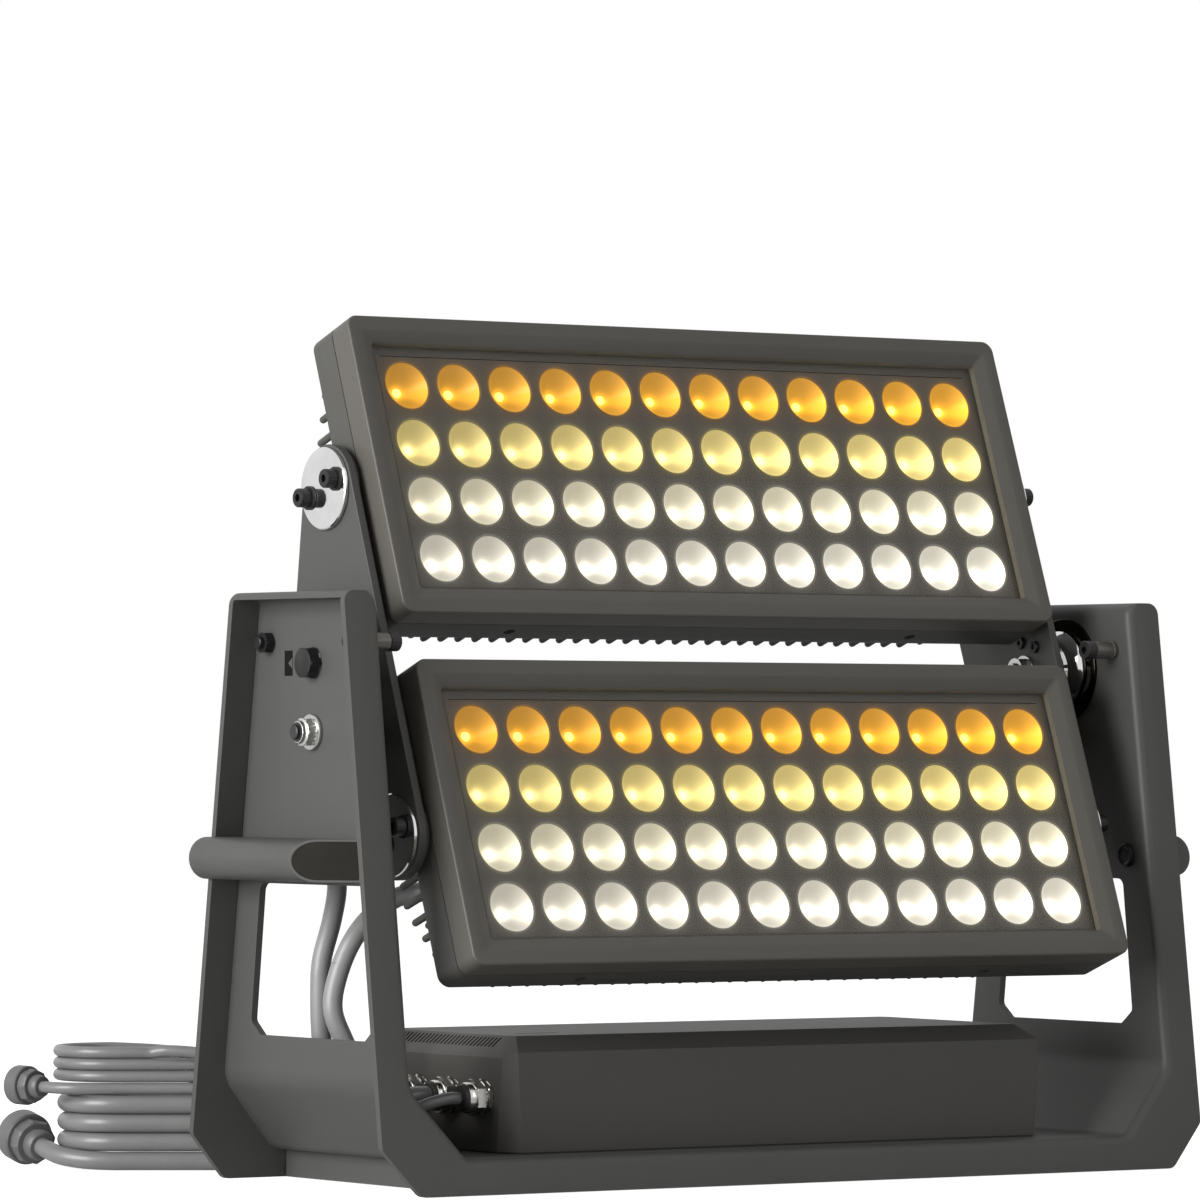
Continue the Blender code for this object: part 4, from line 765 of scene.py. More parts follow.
# The arms: 6 mm plates that carry a head at each end, with a curved slot for the lock bolt and a chrome hub
# on the main axis.
tilt = math.radians(20.41)
arm_inner, arm_outer, arm_middle, arm_radius, head_along = 0.2807, 0.2867, -0.005, 0.03, 0.1246
shoulder_across, shoulder_along = 0.067, 0.051
arm_turn = Matrix.Translation((0.0, 0.0, arm_axis_z)) @ Matrix.Rotation(-tilt, 4, "X")
chrome = mottled("polished chrome", (0.7, 0.7, 0.7), (0.82, 0.82, 0.82), patch=40.0, grain=300.0,
                 relief=0.01, gloss=(0.05, 0.11), metallic=1.0)


def arm_outline():
    """The arm plate in (across, along), with round ends that meet a straight front edge."""
    top = (arm_middle, head_along)
    across, along = shoulder_across - top[0], shoulder_along - top[1]
    tangent = math.atan2(along, across) + math.acos(arm_radius / math.hypot(across, along))
    half = arc_points(top, arm_radius, math.pi, tangent, 40)
    half += arc_points((shoulder_across - 0.004, 0.0495), 0.004, tangent, 0.0, 4)
    return half + [(across, -along) for across, along in reversed(half)]


def lock_slot():
    """The curved slot that the lock bolt rides in."""
    rest = -math.pi / 2 + tilt
    start, end = rest - math.radians(35.5), rest + math.radians(30)
    outline = arc_points((0.0, 0.0), lock_radius - bolt_bore, end, start, 30)
    first, last = [(lock_radius * math.cos(angle), lock_radius * math.sin(angle)) for angle in (start, end)]
    outline += arc_points(first, bolt_bore, start - math.pi, start, 10)[1:-1]
    outline += arc_points((0.0, 0.0), lock_radius + bolt_bore, start, end, 30)
    return outline + arc_points(last, bolt_bore, end, end + math.pi, 10)[1:-1]


hub_far = 0.3137
hub = [(hub_foot, bolt_bore, 0), (hub_far, bolt_bore, 0), (hub_far, 0.0268, 0), (0.3134, 0.0276, 0),
       (0.3125, 0.028, 0), (0.3104, 0.028, 0), (0.305, 0.0226, 0), (0.3048, 0.022, 0), (0.3048, 0.0184, 0),
       (0.3046, 0.018, 0), (0.2874, 0.018, 0), (hub_foot, 0.0176, 0)]
hub_screw = socket_screw(0.278, 0.2806, 0.0045, 0.0024, 0.003)
for name, side in (("left", -1), ("right", 1)):
    faces, ends = (side * arm_inner, side * arm_outer), (side * 0.27, side * 0.297)
    plate = blank("plate", loft([[(x, across, along) for across, along in arm_outline()] for x in faces]))
    bores = bmesh.new()
    rod(*ends, 0.0, 0.0, bolt_bore, target=bores)
    for along in (-head_along, head_along):
        rod(*ends, arm_middle, along, 0.0213, segments=64, target=bores)
    loft([[(x, across, along) for across, along in lock_slot()] for x in ends], target=bores)
    carve(plate, bores)
    plate.data.transform(arm_turn)
    finish_blank(plate, "arm_plate_" + name, powder_coat, "arms", "arm_" + name,
                 rounding=0.0006)
    fitting("hub_" + name, hub, side, (0.0, 0.0, 0.0), chrome, "arms", "pivot_hub_" + name, "chrome", 30.0,
            arm_turn, segments=96, hollow=True)
    # Four dark screws hold the hub from the arm's inner face.
    for number, degrees in enumerate((6, 55, 186, 235)):
        angle = math.pi / 2 + math.radians(degrees)
        spot = (0.0, 0.02 * math.cos(angle), 0.02 * math.sin(angle))
        fitting(f"hub_screw_{name}_{number}", hub_screw, side, spot, black_oxide, "arms", smooth=30.0,
                matrix=arm_turn, segments=32)


# The two heads. Their pieces are drawn as seen from the front, (across, up, forward), and then set in place:
# a bezel, a glass, a carrier and cups with painted glow, a finned housing, and the discs that clamp them
# between the arms.
head_depth = 0.0366
head_half, head_low, head_high, head_corner = 0.275, -0.1068, 0.1092, 0.0085
panels = {}
for name, along in (("upper", head_along), ("lower", -head_along)):
    upright = Matrix.Rotation(math.pi / 2, 4, "X")
    set_back = Matrix.Translation((0.0, arm_middle - head_depth, along)) @ upright
    panels[name] = arm_turn @ set_back


def head_ring(inset, depth):
    """The head's outline with round corners, drawn in by an inset, at a depth behind the lens plane."""
    radius = max(head_corner - inset, 0.0025)
    right = head_half - inset - radius
    high, low = head_high - inset - radius, head_low + inset + radius
    points = []
    for index, centre in enumerate(((right, high), (-right, high), (-right, low), (right, low))):
        start = index * math.pi / 2
        points += arc_points(centre, radius, start, start + math.pi / 2, 8)
    return [(x, u, -depth) for x, u in points]


# The front frame of each head is cast in aluminium, with a fine dark grey coat: a flat rim with a rounded
# outer edge, and a slope down to the glass.
bezel_coat = mottled("dark grey coat on the bezels", (0.081, 0.076, 0.066), (0.088, 0.083, 0.072), patch=8.0,
                     grain=1500.0, relief=0.05, depth=0.0001, gloss=(0.42, 0.52), specular=0.42,
                     rub=(0.092, 0.087, 0.076))
rim = 0.0015
bezel_profile = [(0.0, 0.012), (0.0, -0.0075)]
for degrees in (15, 30, 45, 60, 75):
    angle = math.radians(degrees)
    bezel_profile.append((rim * (1 - math.cos(angle)), -0.0075 - rim * math.sin(angle)))
bezel_profile += [(rim, -0.009), (0.01, -0.009), (0.0105, -0.0088), (0.0181, -0.0056), (0.0186, -0.0052),
                  (0.0186, 0.012)]

# The cover glass is one clear flat pane, 4 mm thick. A thin brownish bead lines the frame's inner wall round
# it;
# its light colour is painted light that hides the shade on that wall.
wall_bead_lightened = mottled("brownish bead lightened against shade", (0.135, 0.118, 0.088), (0.15, 0.132, 0.098), patch=12.0,
                    grain=900.0, relief=0.03, gloss=(0.55, 0.7), specular=0.25)
clear_glass, tree, shader = new_material("clear cover glass", 0.0, metallic=1.0)
place = add(tree, "ShaderNodeTexCoord").outputs["Object"]
smears = add(tree, "ShaderNodeTexNoise", {"Vector": place, "Scale": 14.0, "Detail": 6.0}).outputs["Fac"]
feed(tree, shader, {"Base Color": ramp(tree, smears, [(0.35, (0.965, 0.955, 0.92)),
                                                      (0.75, (1.0, 0.99, 0.96))]),
                    "Alpha": 0.01})

# Fronts of the lamps: a dark brown carrier plate with 48 round cups, each with its emitter at the bottom.
# Amber at the top, then pale yellow, cream and white.
pitch, columns, rows = 0.042, 12, 4
cup_radius, cup_depth, cup_floor = 0.017, 0.0145, 0.004
row_colours = ((1.0, 0.95, 0.8), (1.0, 0.93, 0.68), (1.0, 0.8, 0.27), (1.0, 0.45, 0.018))


def row_colour(tree):
    """The colour of a cup's row, from the row number stored on the mesh."""
    number = add(tree, "ShaderNodeAttribute", attribute_name="row").outputs["Fac"]
    part = add(tree, "ShaderNodeMapRange", {"Value": number, "From Min": -0.5, "From Max": rows - 0.5})
    stops = [(row / rows, colour) for row, colour in enumerate(row_colours)]
    return ramp(tree, part.outputs["Result"], stops, "CONSTANT")


def cell_spot(tree, unit):
    """Where a point is from the middle of its cup, in metres, and how far out it is, in parts of a unit."""
    cell = add(tree, "ShaderNodeUVMap", uv_map="cell").outputs["UV"]
    middle = add(tree, "ShaderNodeVectorMath", {0: cell, 1: (0.5, 0.5, 0.0)}, operation="SUBTRACT")
    spot = add(tree, "ShaderNodeVectorMath", {0: middle.outputs["Vector"], "Scale": pitch},
               operation="SCALE")
    length = add(tree, "ShaderNodeVectorMath", {0: spot.outputs["Vector"]},
                 operation="LENGTH").outputs["Value"]
    return spot.outputs["Vector"], calculate(tree, "DIVIDE", length, unit)


def curve_of(tree, value, points):
    """Maps a value through a soft curve of (from, to) points on 0 to 1."""
    curve = add(tree, "ShaderNodeFloatCurve", {"Value": value})
    line = curve.mapping.curves[0]
    line.points[0].location = points[0]
    line.points[1].location = points[-1]
    for spot in points[1:-1]:
        line.points.new(*spot)
    curve.mapping.update()
    return curve.outputs["Value"]


# The cups are metallised funnels. The emitter's reflection in them is painted on as glow: a painted bright
# sector runs from the emitter to the right rim, a soft painted glow lies round the emitter, and the right
# end of the lamp is painted a little brighter than the left one.
cup_painted_reflection, tree, shader = new_material("reflector cup with painted reflection", 0.25, specular=0.15)
spot, reach_part = cell_spot(tree, cup_radius)
parts = add(tree, "ShaderNodeSeparateXYZ", {"Vector": spot}).outputs
angle = calculate(tree, "ADD", calculate(tree, "ARCTAN2", parts["Y"], parts["X"]), 0.18)
turn_part = calculate(tree, "DIVIDE", calculate(tree, "ABSOLUTE", angle), math.pi)
painted_sector = curve_of(tree, turn_part, [(0.0, 1.0), (0.1, 0.86), (0.22, 0.42), (0.4, 0.16), (0.6, 0.08),
                                    (1.0, 0.1)])
outward = curve_of(tree, reach_part, [(0.0, 0.55), (0.35, 0.45), (0.7, 0.75), (1.0, 1.0)])
painted_core_glow = curve_of(tree, reach_part, [(0.0, 1.0), (0.24, 0.85), (0.36, 0.35), (0.55, 0.08), (1.0, 0.0)])
# lit holds the painted reflection and glow, stronger towards the rim, plus the painted glow round the
# emitter.
lit = calculate(tree, "MULTIPLY", calculate(tree, "MULTIPLY", painted_sector, outward), 1.45)
lit = calculate(tree, "ADD", calculate(tree, "ADD", lit, 0.4), calculate(tree, "MULTIPLY", painted_core_glow, 0.9))
place = add(tree, "ShaderNodeTexCoord").outputs["Object"]
along = add(tree, "ShaderNodeSeparateXYZ", {"Vector": place}).outputs["X"]
painted_right_gain = calculate(tree, "ADD", calculate(tree, "MULTIPLY", along, 0.7), 1.0)
feed(tree, shader, {"Base Color": (0.07, 0.055, 0.035, 1.0), "Emission Color": row_colour(tree),
                    "Emission Strength": calculate(tree, "MULTIPLY", lit, painted_right_gain)})

emitter_glow, tree, shader = new_material("lit emitter", 0.3)
hot = add(tree, "ShaderNodeMix", {"Factor": 0.35, "A": row_colour(tree), "B": (1.0, 0.82, 0.26, 1.0)},
          data_type="RGBA")
dome = add(tree, "ShaderNodeTexNoise", {"Scale": 300.0}).outputs["Fac"]
strength = add(tree, "ShaderNodeMapRange", {"Value": dome, "To Min": 1.7, "To Max": 2.1})
feed(tree, shader, {"Base Color": (0.8, 0.78, 0.7, 1.0), "Emission Color": hot.outputs["Result"],
                    "Emission Strength": strength.outputs["Result"]})

# The carrier plate is dark brown, with a thin raised rim round each cup. A faint painted glow round each cup
# stands for the light that spreads from the cups.
carrier_painted_glow, tree, shader = new_material("black carrier plate with painted glow", 0.5)
spot, reach_part = cell_spot(tree, 0.03)
painted_halo = curve_of(tree, reach_part, [(0.0, 1.0), (0.57, 0.95), (0.605, 0.8), (0.63, 0.34), (0.72, 0.2),
                                   (0.85, 0.1), (1.0, 0.06)])
place = add(tree, "ShaderNodeTexCoord").outputs["Object"]
specks = add(tree, "ShaderNodeTexNoise", {"Vector": place, "Scale": 18.0}).outputs["Fac"]
tone = add(tree, "ShaderNodeMix", {"Factor": specks, "A": (0.034, 0.026, 0.016, 1.0),
                                   "B": (0.039, 0.03, 0.019, 1.0)}, data_type="RGBA")
feed(tree, shader, {"Base Color": tone.outputs["Result"], "Emission Color": row_colour(tree),
                    "Emission Strength": calculate(tree, "MULTIPLY", painted_halo, 0.12)})
carrier_brown = mottled("dark brown carrier edge", (0.04, 0.032, 0.021), (0.045, 0.036, 0.024), patch=20.0,
                        grain=900.0, relief=0.02, gloss=(0.48, 0.54))


def ring_of(shape, radius, forward, sides):
    """A ring of points round the middle of a cell."""
    angles = [2 * math.pi * step / sides for step in range(sides)]
    return [shape.verts.new((radius * math.cos(angle), radius * math.sin(angle), forward))
            for angle in angles]


def new_cell():
    """An empty cell, and the map that gives each of its points its place in the cell."""
    shape = bmesh.new()
    return shape, shape.loops.layers.uv.new("cell")


def skin_cell(shape, layer, rings, bottom):
    """Joins a cell's rings with faces, and closes the last one if it is the bottom of the cell."""
    faces = []
    for outer, inner in zip(rings, rings[1:]):
        for index in range(len(outer)):
            after = (index + 1) % len(outer)
            faces.append((outer[index], outer[after], inner[after], inner[index]))
    for corners in faces + ([rings[-1]] if bottom else []):
        for loop in shape.faces.new(corners).loops:
            loop[layer].uv = (loop.vert.co.x / pitch + 0.5, loop.vert.co.y / pitch + 0.5)
    return shape


def carrier_cell():
    """One square of the carrier plate round its cup, with the cup's thin raised rim."""
    shape, layer = new_cell()
    sides = 32
    square = []
    for step in range(sides):
        angle = 2 * math.pi * step / sides
        reach = 0.5 * pitch / max(abs(math.cos(angle)), abs(math.sin(angle)))
        square.append(shape.verts.new((reach * math.cos(angle), reach * math.sin(angle), 0.0)))
    rim_rings = ((0.0182, 0.0), (0.0181, 0.0007), (0.0174, 0.0008), (0.017, 0.0004), (0.017, -0.0015))
    rings = [square] + [ring_of(shape, radius, forward, sides) for radius, forward in rim_rings]
    return skin_cell(shape, layer, rings, bottom=False)


def cup_cell():
    """One reflector cup: a funnel with slightly hollow sides, just inside its hole in the carrier."""
    shape, layer = new_cell()
    rings = []
    for step in range(9):
        part = step / 8
        radius = cup_radius - 0.0001 - (cup_radius - cup_floor) * (0.8 * part + 0.2 * part ** 2)
        rings.append(ring_of(shape, radius, -0.0003 - (cup_depth - 0.0003) * part, 40))
    return skin_cell(shape, layer, rings, bottom=True)


def emitter_cell():
    """One emitter: a small clear dome on the bottom of its cup."""
    shape, layer = new_cell()
    rings = [ring_of(shape, 0.0034 * math.cos(angle), -cup_depth + 0.0004 + 0.0026 * math.sin(angle), 20)
             for angle in (0.0, 0.4, 0.8, 1.15, 1.4)]
    return skin_cell(shape, layer, rings, bottom=True)


pin_taper = 0.6


def grid_tree(name, tapered=False):
    """Repeats a cell on an even grid and stores the row that each copy is in.

    The tapered grid shortens the copies towards the corners and leaves a pocket free, for the cooling pins.
    """
    tree = bpy.data.node_groups.new(name, "GeometryNodeTree")
    kinds = {"Cell": "Geometry", "Columns": "Int", "Rows": "Int", "Pitch": "Float", "Finish": "Material"}
    if tapered:
        kinds.update(dict.fromkeys(("Length", "Corner", "Pocket X", "Pocket Y", "Pocket Half"), "Float"))
    for label, kind in kinds.items():
        tree.interface.new_socket(label, in_out="INPUT", socket_type="NodeSocket" + kind)
    tree.interface.new_socket("Grid", in_out="OUTPUT", socket_type="NodeSocketGeometry")
    given = add(tree, "NodeGroupInput").outputs
    sizes = []
    for count in ("Columns", "Rows"):
        gaps = calculate(tree, "SUBTRACT", given[count], 1.0)
        sizes.append(calculate(tree, "MULTIPLY", gaps, given["Pitch"]))
    grid = add(tree, "GeometryNodeMeshGrid", {"Vertices X": given["Columns"], "Vertices Y": given["Rows"],
                                              "Size X": sizes[0], "Size Y": sizes[1]})
    place = add(tree, "GeometryNodeInputPosition").outputs["Position"]
    parts = add(tree, "ShaderNodeSeparateXYZ", {"Vector": place}).outputs
    copies = add(tree, "GeometryNodeInstanceOnPoints", {"Points": grid.outputs["Mesh"],
                                                        "Instance": given["Cell"]})
    if tapered:
        across, up = (calculate(tree, "ABSOLUTE", parts[axis]) for axis in ("X", "Y"))
        over = calculate(tree, "SUBTRACT", calculate(tree, "ADD", across, up), given["Corner"])
        over = calculate(tree, "MULTIPLY", calculate(tree, "MAXIMUM", over, 0.0), pin_taper)
        left_over = calculate(tree, "SUBTRACT", 1.0, calculate(tree, "DIVIDE", over, given["Length"]))
        size = add(tree, "ShaderNodeCombineXYZ", {"X": 1.0, "Y": 1.0, "Z": left_over}).outputs["Vector"]
        beside, above = (calculate(tree, "ABSOLUTE", calculate(tree, "SUBTRACT", parts[axis],
                                                               given["Pocket " + axis]))
                         for axis in ("X", "Y"))
        nearest = calculate(tree, "MAXIMUM", beside, above)
        outside = calculate(tree, "GREATER_THAN", nearest, given["Pocket Half"])
        feed(tree, copies, {"Scale": size, "Selection": outside})
    half = calculate(tree, "MULTIPLY", calculate(tree, "SUBTRACT", given["Rows"], 1.0), 0.5)
    row = calculate(tree, "ADD", calculate(tree, "DIVIDE", parts["Y"], given["Pitch"]), half)
    keep = add(tree, "GeometryNodeStoreNamedAttribute",
               {"Name": "row", "Geometry": copies.outputs["Instances"], "Value": row},
               data_type="FLOAT", domain="INSTANCE")
    real = add(tree, "GeometryNodeRealizeInstances", {"Geometry": keep.outputs["Geometry"]})
    dress = add(tree, "GeometryNodeSetMaterial", {"Geometry": real.outputs["Geometry"],
                                                  "Material": given["Finish"]})
    add(tree, "NodeGroupOutput", {"Grid": dress.outputs["Geometry"]})
    return tree


def repeated(shape, tree, values, matrix):
    """Runs a grid on a cell's mesh and gives the result as a plain mesh, set in place."""
    item = blank("cell", shape)
    modifier = item.modifiers.new("grid", "NODES")
    modifier.node_group = tree
    sockets = {entry.name: entry.identifier for entry in tree.interface.items_tree
               if entry.in_out == "INPUT"}
    for name, value in values.items():
        modifier[sockets[name]] = value
    mesh = plain_mesh(item)
    bpy.data.objects.remove(item, do_unlink=True)
    mesh.transform(matrix)
    return mesh


lens_grid = grid_tree("cups on a grid")
pin_grid = grid_tree("cooling pins on a grid", tapered=True)

# The rear housing is a shallow casting, coated, with round cooling pins all over its back and a boss on each
# end.
casting_coat = mottled("dark coat on the casting", (0.06, 0.059, 0.054), (0.07, 0.069, 0.063), patch=12.0,
                       grain=1100.0, relief=0.06, depth=0.0001, gloss=(0.46, 0.58), specular=0.4,
                       rub=(0.076, 0.075, 0.069))
pin_length, pin_pitch, pin_tip, pin_top = 0.0435, 0.014, 0.0024, 0.0025
gland_x, gland_u, gland_seat = -0.23, -0.02, 0.0393


def pin_cell():
    """One cooling pin: slightly tapered, with a round tip."""
    shape = bmesh.new()
    sides = 12
    rings = [ring_of(shape, 0.0028, 0.0, sides), ring_of(shape, pin_top, -pin_length + pin_tip, sides)]
    for angle in (0.5, 1.0, 1.35):
        rings.append(ring_of(shape, pin_top * math.cos(angle),
                             -pin_length + pin_tip - pin_tip * math.sin(angle), sides))
    for outer, inner in zip(rings, rings[1:]):
        for index in range(sides):
            after = (index + 1) % sides
            shape.faces.new((outer[after], outer[index], inner[index], inner[after]))
    shape.faces.new(list(reversed(rings[-1])))
    shape.faces.new(rings[0])
    bmesh.ops.recalc_face_normals(shape, faces=shape.faces)
    return shape


# The cable glands are turned in nickel-plated brass, with a black rubber lip that grips the cable. One
# stands on each head's back, and four stand on the driver box.
nickel = mottled("nickel plated brass", (0.56, 0.555, 0.53), (0.7, 0.695, 0.67), patch=70.0, grain=900.0,
                 relief=0.03, gloss=(0.14, 0.24), metallic=1.0)
lip_rubber = mottled("black rubber lip", (0.012, 0.012, 0.012), (0.022, 0.022, 0.022), patch=80.0,
                     grain=1400.0, relief=0.2, gloss=(0.5, 0.65))
gland_body = [(-0.009, 0.0075, 0), (0.0, 0.0075, 0), (0.0, 0.0115, 0), (0.0003, 0.0125, 6),
              (0.0027, 0.0125, 6), (0.003, 0.0118, 0), (0.003, 0.0095, 0), (0.0045, 0.0095, 0),
              (0.0045, 0.0118, 0), (0.0049, 0.0125, 6), (0.0111, 0.0125, 6), (0.0115, 0.0118, 0),
              (0.0115, 0.0104, 0), (0.012, 0.0106, 0), (0.0152, 0.0104, 0), (0.0165, 0.0096, 0),
              (0.0166, 0.0078, 0)]
gland_lip = [(0.0164, 0.0094, 0), (0.0172, 0.0094, 0), (0.0186, 0.009, 0), (0.0195, 0.0083, 0),
             (0.0197, 0.007, 0)]


def gland(name, place, axis, body, stands_for, matrix=None):
    """A cable gland: lock ring, hexagon, domed nut with flats, and the black lip that grips the cable."""
    shape, lip = turned(gland_body, place, axis), turned(gland_lip, place, axis)
    if matrix:
        shape.transform(matrix)
        lip.transform(matrix)
    piece(name + "_body", shape, nickel, body, stands_for, smooth=28.0)
    piece(name + "_lip", lip, lip_rubber, body, smooth=30.0)


def framed(rings, matrix, ring_closed=True):
    """A ring-shaped part of a head, or a plate, from its (inset, depth) outlines."""
    shape = loft([head_ring(inset, depth) for inset, depth in rings], ring_closed=ring_closed)
    shape.transform(matrix)
    return shape


housing_back, housing_round = 0.037, 0.002
housing_rings = [(0.016, 0.0226), (0.016, 0.0123), (0.0008, 0.0123), (0.0008, 0.0128), (0.0, 0.0128),
                 (0.0, housing_back)]
for degrees in (22, 45, 67, 90):
    angle = math.radians(degrees)
    housing_rings.append((housing_round * (1 - math.cos(angle)),
                          housing_back + housing_round * math.sin(angle)))
boss = [(0.266, 0.021, 0), (0.2779, 0.021, 0), (0.2779, 0.0275, 0), (0.2783, 0.028, 0), (0.28, 0.028, 0),
        (0.2804, 0.0275, 0), (0.2804, 0.021, 0), (0.2867, 0.021, 0)]
clamp_disc = [(0.287, 0.0274, 0), (0.2875, 0.028, 0), (0.2897, 0.028, 0), (0.2903, 0.0273, 0)]
clamp_washer = [(0.2902, 0.008, 0), (0.2906, 0.0082, 0), (0.2917, 0.0082, 0), (0.2921, 0.0079, 0)]
clamp_foot, clamp_top = 0.292, 0.3001
clamp_screw = [(clamp_top - (along - clamp_foot), radius, sides) for along, radius, sides in
               socket_screw(clamp_foot, clamp_foot + 0.0081, 0.0065, 0.008, 0.006)]
for name in ("upper", "lower"):
    body = name + "_head"
    panel = panels[name]
    lens_panel = panel @ Matrix.Translation((0.0, -0.001, 0.0))
    piece(name + "_front_frame", framed(bezel_profile, panel), bezel_coat, body, name + "_bezel",
          smooth=30.0)
    pane = framed([(0.0189, -0.0055), (0.0189, -0.0015)], panel, ring_closed=False)
    piece(name + "_cover_glass", pane, clear_glass, body, name + "_glass", smooth=30.0)
    # The bead's light colour is painted light over the shaded inner wall.
    bead = framed([(0.01862, -0.005), (0.01862, -0.0001), (0.0188, -0.0001), (0.0188, -0.005)], panel)
    piece(name + "_glass_bead", bead, wall_bead_lightened, body, smooth=30.0)

    values = {"Columns": columns, "Rows": rows, "Pitch": pitch}
    for label, cell, finish, stands_for, slot, smooth in (
            ("_carrier", carrier_cell(), carrier_painted_glow, (), None, 30.0),
            ("_cups", cup_cell(), cup_painted_reflection, name + "_lens_plate", "reflector", 50.0),
            ("_emitters", emitter_cell(), emitter_glow, (), None, 60.0)):
        mesh = repeated(cell, lens_grid, {**values, "Finish": finish}, lens_panel)
        piece(name + label, mesh, finish, body, stands_for, smooth)
    edge = framed([(0.0187, 0.0002), (0.0187, 0.001), (0.0254, 0.001), (0.0254, 0.0002)], panel)
    piece(name + "_carrier_edge", edge, carrier_brown, body, smooth=30.0)

    housing = blank("housing", framed(housing_rings, Matrix.Identity(4), ring_closed=False))
    ends = bmesh.new()
    for side in (-1, 1):
        turned([(side * along, radius, sides) for along, radius, sides in boss], (0.0, 0.0, -head_depth),
               segments=64, target=ends)
    carve(housing, ends, "UNION")
    dimples = bmesh.new()
    for x in (-0.17, 0.17):
        turned([(0.0, 0.004, 0), (0.006, 0.0046, 0)], (x, head_low - 0.001, -0.0255), (0.0, 1.0, 0.0),
               segments=24, target=dimples)
    carve(housing, dimples)
    housing.data.transform(panel)
    finish_blank(housing, name + "_housing", casting_coat, body, name + "_heatsink")
    values = {"Columns": 38, "Rows": 14, "Pitch": pin_pitch, "Finish": casting_coat, "Length": pin_length,
              "Corner": 0.298, "Pocket X": gland_x, "Pocket Y": gland_u, "Pocket Half": 0.019}
    mesh = repeated(pin_cell(), pin_grid, values, panel @ Matrix.Translation((0.0, 0.0, -0.0385)))
    piece(name + "_cooling_pins", mesh, casting_coat, body, smooth=50.0)

    # Chrome discs outside the arms, each clamped by two black socket screws on washers.
    for end, side in (("left", -1), ("right", 1)):
        fitting(f"{name}_disc_{end}", clamp_disc, side, (0.0, 0.0, -head_depth), chrome, body,
                f"{name}_pivot_disc_{end}", "chrome", 30.0, panel, segments=96)
        for number, across in enumerate((-0.0176, 0.0176)):
            spot = (0.0, 0.0, -head_depth - across)
            fitting(f"{name}_washer_{end}_{number}", clamp_washer, side, spot, black_oxide, body,
                    smooth=30.0, matrix=panel)
            fitting(f"{name}_clamp_screw_{end}_{number}", clamp_screw, side, spot, black_oxide, body,
                    matrix=panel, knurl=(4, 5))
    gland(name + "_rear_gland", (gland_x, gland_u, -gland_seat), (0.0, 0.0, -1.0), body, name + "_gland",
          panel)


# The driver box: a folded cover with chamfered edges on a rubber gasket and a tray, vents slanted along its
# left shoulder, its front face bare. Four plated glands stand on its left end.
box_half, box_depth, box_end_drop, box_wall = 0.225, 0.095, 0.004, 0.003
box_top, box_shoulder, box_top_depth, box_top_width = 0.102, 0.0918, 0.078, 0.212
box_glands_y = {"data": -0.063, "power": -0.024, "lower_lead": 0.015, "upper_lead": 0.054}


def box_corner(z):
    """How far the box's corner chamfer reaches along X and Y at a height. It narrows upwards."""
    low, high, part = (0.0096, 0.0165), (0.0059, 0.0105), (z - base_top) / (box_shoulder - base_top)
    if z > box_shoulder:
        low, high, part = (0.0059, 0.0105), (0.0025, 0.0065), (z - box_shoulder) / (box_top - box_shoulder)
    return [one + (two - one) * part for one, two in zip(low, high)]


def box_ring(z, inset=0.0, end_drop=0.0):
    """A ring of the box's outline, drawn in above its shoulder, which is lower at the two ends."""
    rise = max(0.0, z - box_shoulder) / (box_top - box_shoulder)
    depth = box_depth - rise * (box_depth - box_top_depth) - inset
    width = box_half - rise * (box_half - box_top_width) - inset
    corner_x, corner_y = (size - 0.4 * inset for size in box_corner(z))
    quarter = [(width, depth - corner_y), (width - corner_x, depth)]
    points = quarter + [(-x, y) for x, y in reversed(quarter)]
    points += [(-x, -y) for x, y in quarter] + [(x, -y) for x, y in reversed(quarter)]
    return [(x, y, z - end_drop if abs(x) > width - corner_x / 2 else z) for x, y in points]


box_coat = mottled("dark grey coat on the box", (0.06, 0.058, 0.053), (0.066, 0.064, 0.058), patch=6.0,
                   grain=1500.0, relief=0.06, depth=0.0001, gloss=(0.5, 0.6), specular=0.36,
                   rub=(0.069, 0.067, 0.061))
cover = blank("cover", loft([box_ring(*ring) for ring in (
    (box_top - box_wall, box_wall), (box_shoulder - 0.001, box_wall, box_end_drop), (0.025, box_wall),
    (0.025,), (box_shoulder, 0.0, box_end_drop), (box_top,))]))
bores = bmesh.new()
for y in box_glands_y.values():
    rod(-0.235, -0.215, y, gland_height, 0.0078, target=bores)
# Slanted vents near the top edge of the sloping left shoulder, and one narrow slot in the top.
vent_low, vent_high, vent_wide, vent_pitch = (-0.219, 0.0944), (-0.2136, 0.1008), 0.0021, 0.0045
vent_out, vent_in, vent_count = (-0.0008, 0.0007), (0.0042, -0.0034), 27
for step in range(vent_count):
    bars = []
    for (x, z), lean in ((vent_low, 0.0), (vent_high, -0.003)):
        y = -0.064 + vent_pitch * step + lean
        near, deep = (x + vent_out[0], z + vent_out[1]), (x + vent_in[0], z + vent_in[1])
        bars.append([(near[0], y, near[1]), (near[0], y + vent_wide, near[1]),
                     (deep[0], y + vent_wide, deep[1]), (deep[0], y, deep[1])])
    loft(bars, target=bores)
box_bar(-0.186, -0.152, -0.044, -0.04, 0.097, 0.104, bores)
carve(cover, bores)
finish_blank(cover, "box_cover", box_coat, "yoke", "driver_cover", 20.0, 0.0008)
seal = loft([box_ring(z, inset) for z, inset in ((0.0242, 0.0008), (0.0248, 0.0008), (0.0248, 0.006),
                                                 (0.0242, 0.006))], ring_closed=True)
piece("box_seal", seal, lip_rubber, "yoke", "driver_gasket", smooth=30.0)
coat_node("driver_tray", powder_coat)
coat_node("power_supply", zinc)
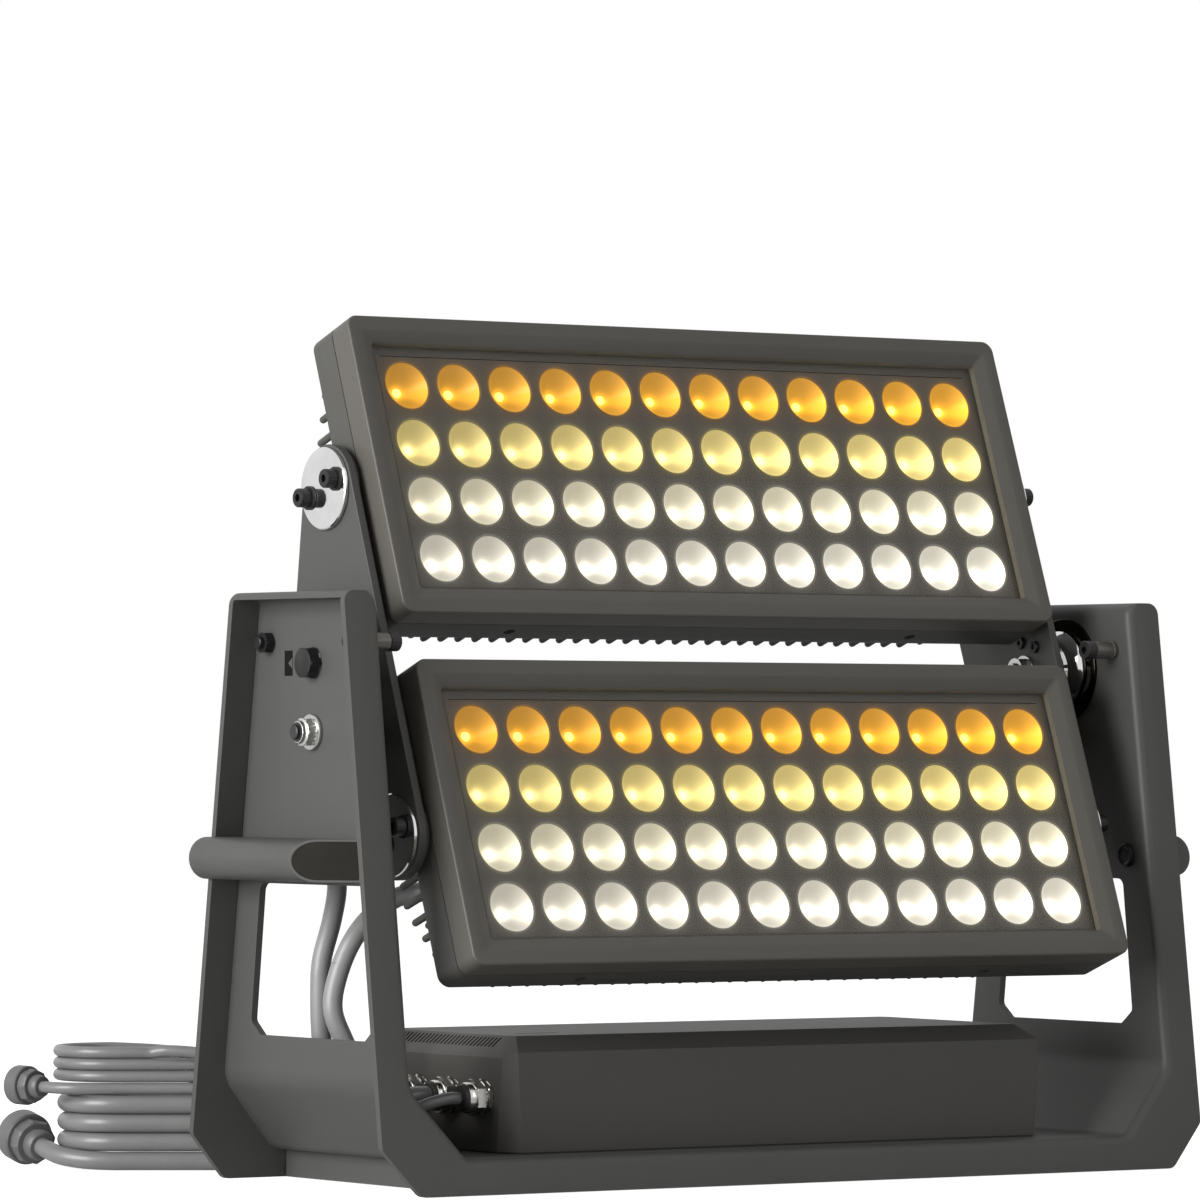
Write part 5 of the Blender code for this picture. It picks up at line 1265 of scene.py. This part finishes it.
for node_name in ("control_board", "upper_led_board", "lower_led_board"):
    coat_node(node_name, nylon)
for name, y in box_glands_y.items():
    gland(name + "_box_gland", (box_end_x - 0.0003, y, gland_height), (-1.0, 0.0, 0.0), "yoke",
          name + "_gland")


# The leads from the box to the heads: two round grey cables, a gland at each end. Each is drawn in two
# lengths that meet halfway.
lead_radius = 0.00675
# The leads' sheath is painted lighter than the free cables' sheath, to make up for the shade they lie in
# inside the yoke.
lead_grey_lightened = mottled("grey lead sheath lightened against shade", (0.235, 0.235, 0.234), (0.265, 0.265, 0.264), patch=22.0,
                    grain=420.0, relief=0.03, gloss=(0.34, 0.42), rub=(0.28, 0.28, 0.28))


def gland_tip(along):
    """Where a head's lead leaves its gland, and the way it points."""
    turn = Matrix.Rotation(-tilt, 3, "X")
    tip_depth = gland_seat + gland_lip[-1][0] + 0.0003
    local = Vector((gland_x, arm_middle + tip_depth - head_depth, along + gland_u))
    return Vector((0.0, 0.0, arm_axis_z)) + turn @ local, turn @ Vector((0.0, 1.0, 0.0))


def lead(name, along, straight, route):
    """One lead in two lengths that meet halfway."""
    place, way = gland_tip(along)
    points = smooth_route([place, place + way * straight] + route, 0.004)
    middle = round(len(points) * 0.5)
    first = points[:middle + 1]
    second = points[middle:]
    head_end = piece(name + "_lead_top", tube(first, lead_radius), lead_grey_lightened, None, name + "_head_lead",
                     smooth=60.0)
    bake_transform(head_end)
    box_end = piece(name + "_lead_bottom", tube(second, lead_radius), lead_grey_lightened, None, name + "_head_lead",
                    smooth=60.0)
    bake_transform(box_end)


lead("upper", head_along, 0.0135, [
    (-0.237, 0.089, 0.417), (-0.247, 0.093, 0.382), (-0.257, 0.085, 0.33), (-0.263, 0.069, 0.265),
    (-0.2665, 0.056, 0.201), (-0.2723, 0.053, 0.178), (-0.2812, 0.052, 0.15), (-0.2821, 0.0525, 0.1275),
    (-0.2806, 0.053, 0.0985), (-0.277, 0.0535, 0.084), (-0.27, 0.054, 0.072), (-0.26, 0.054, 0.0637),
    (gland_tip_x - 0.006, 0.054, gland_height), (gland_tip_x, 0.054, gland_height)])
lead("lower", -head_along, 0.01, [
    (-0.236, -0.003, 0.1975), (-0.25, 0.008, 0.193), (-0.267, 0.015, 0.179), (-0.28, 0.019, 0.1605),
    (-0.289, 0.022, 0.135), (-0.2912, 0.0215, 0.117), (-0.285, 0.019, 0.099), (-0.2765, 0.017, 0.083),
    (-0.265, 0.0155, 0.0695), (gland_tip_x - 0.006, 0.015, gland_height),
    (gland_tip_x, 0.015, gland_height)])
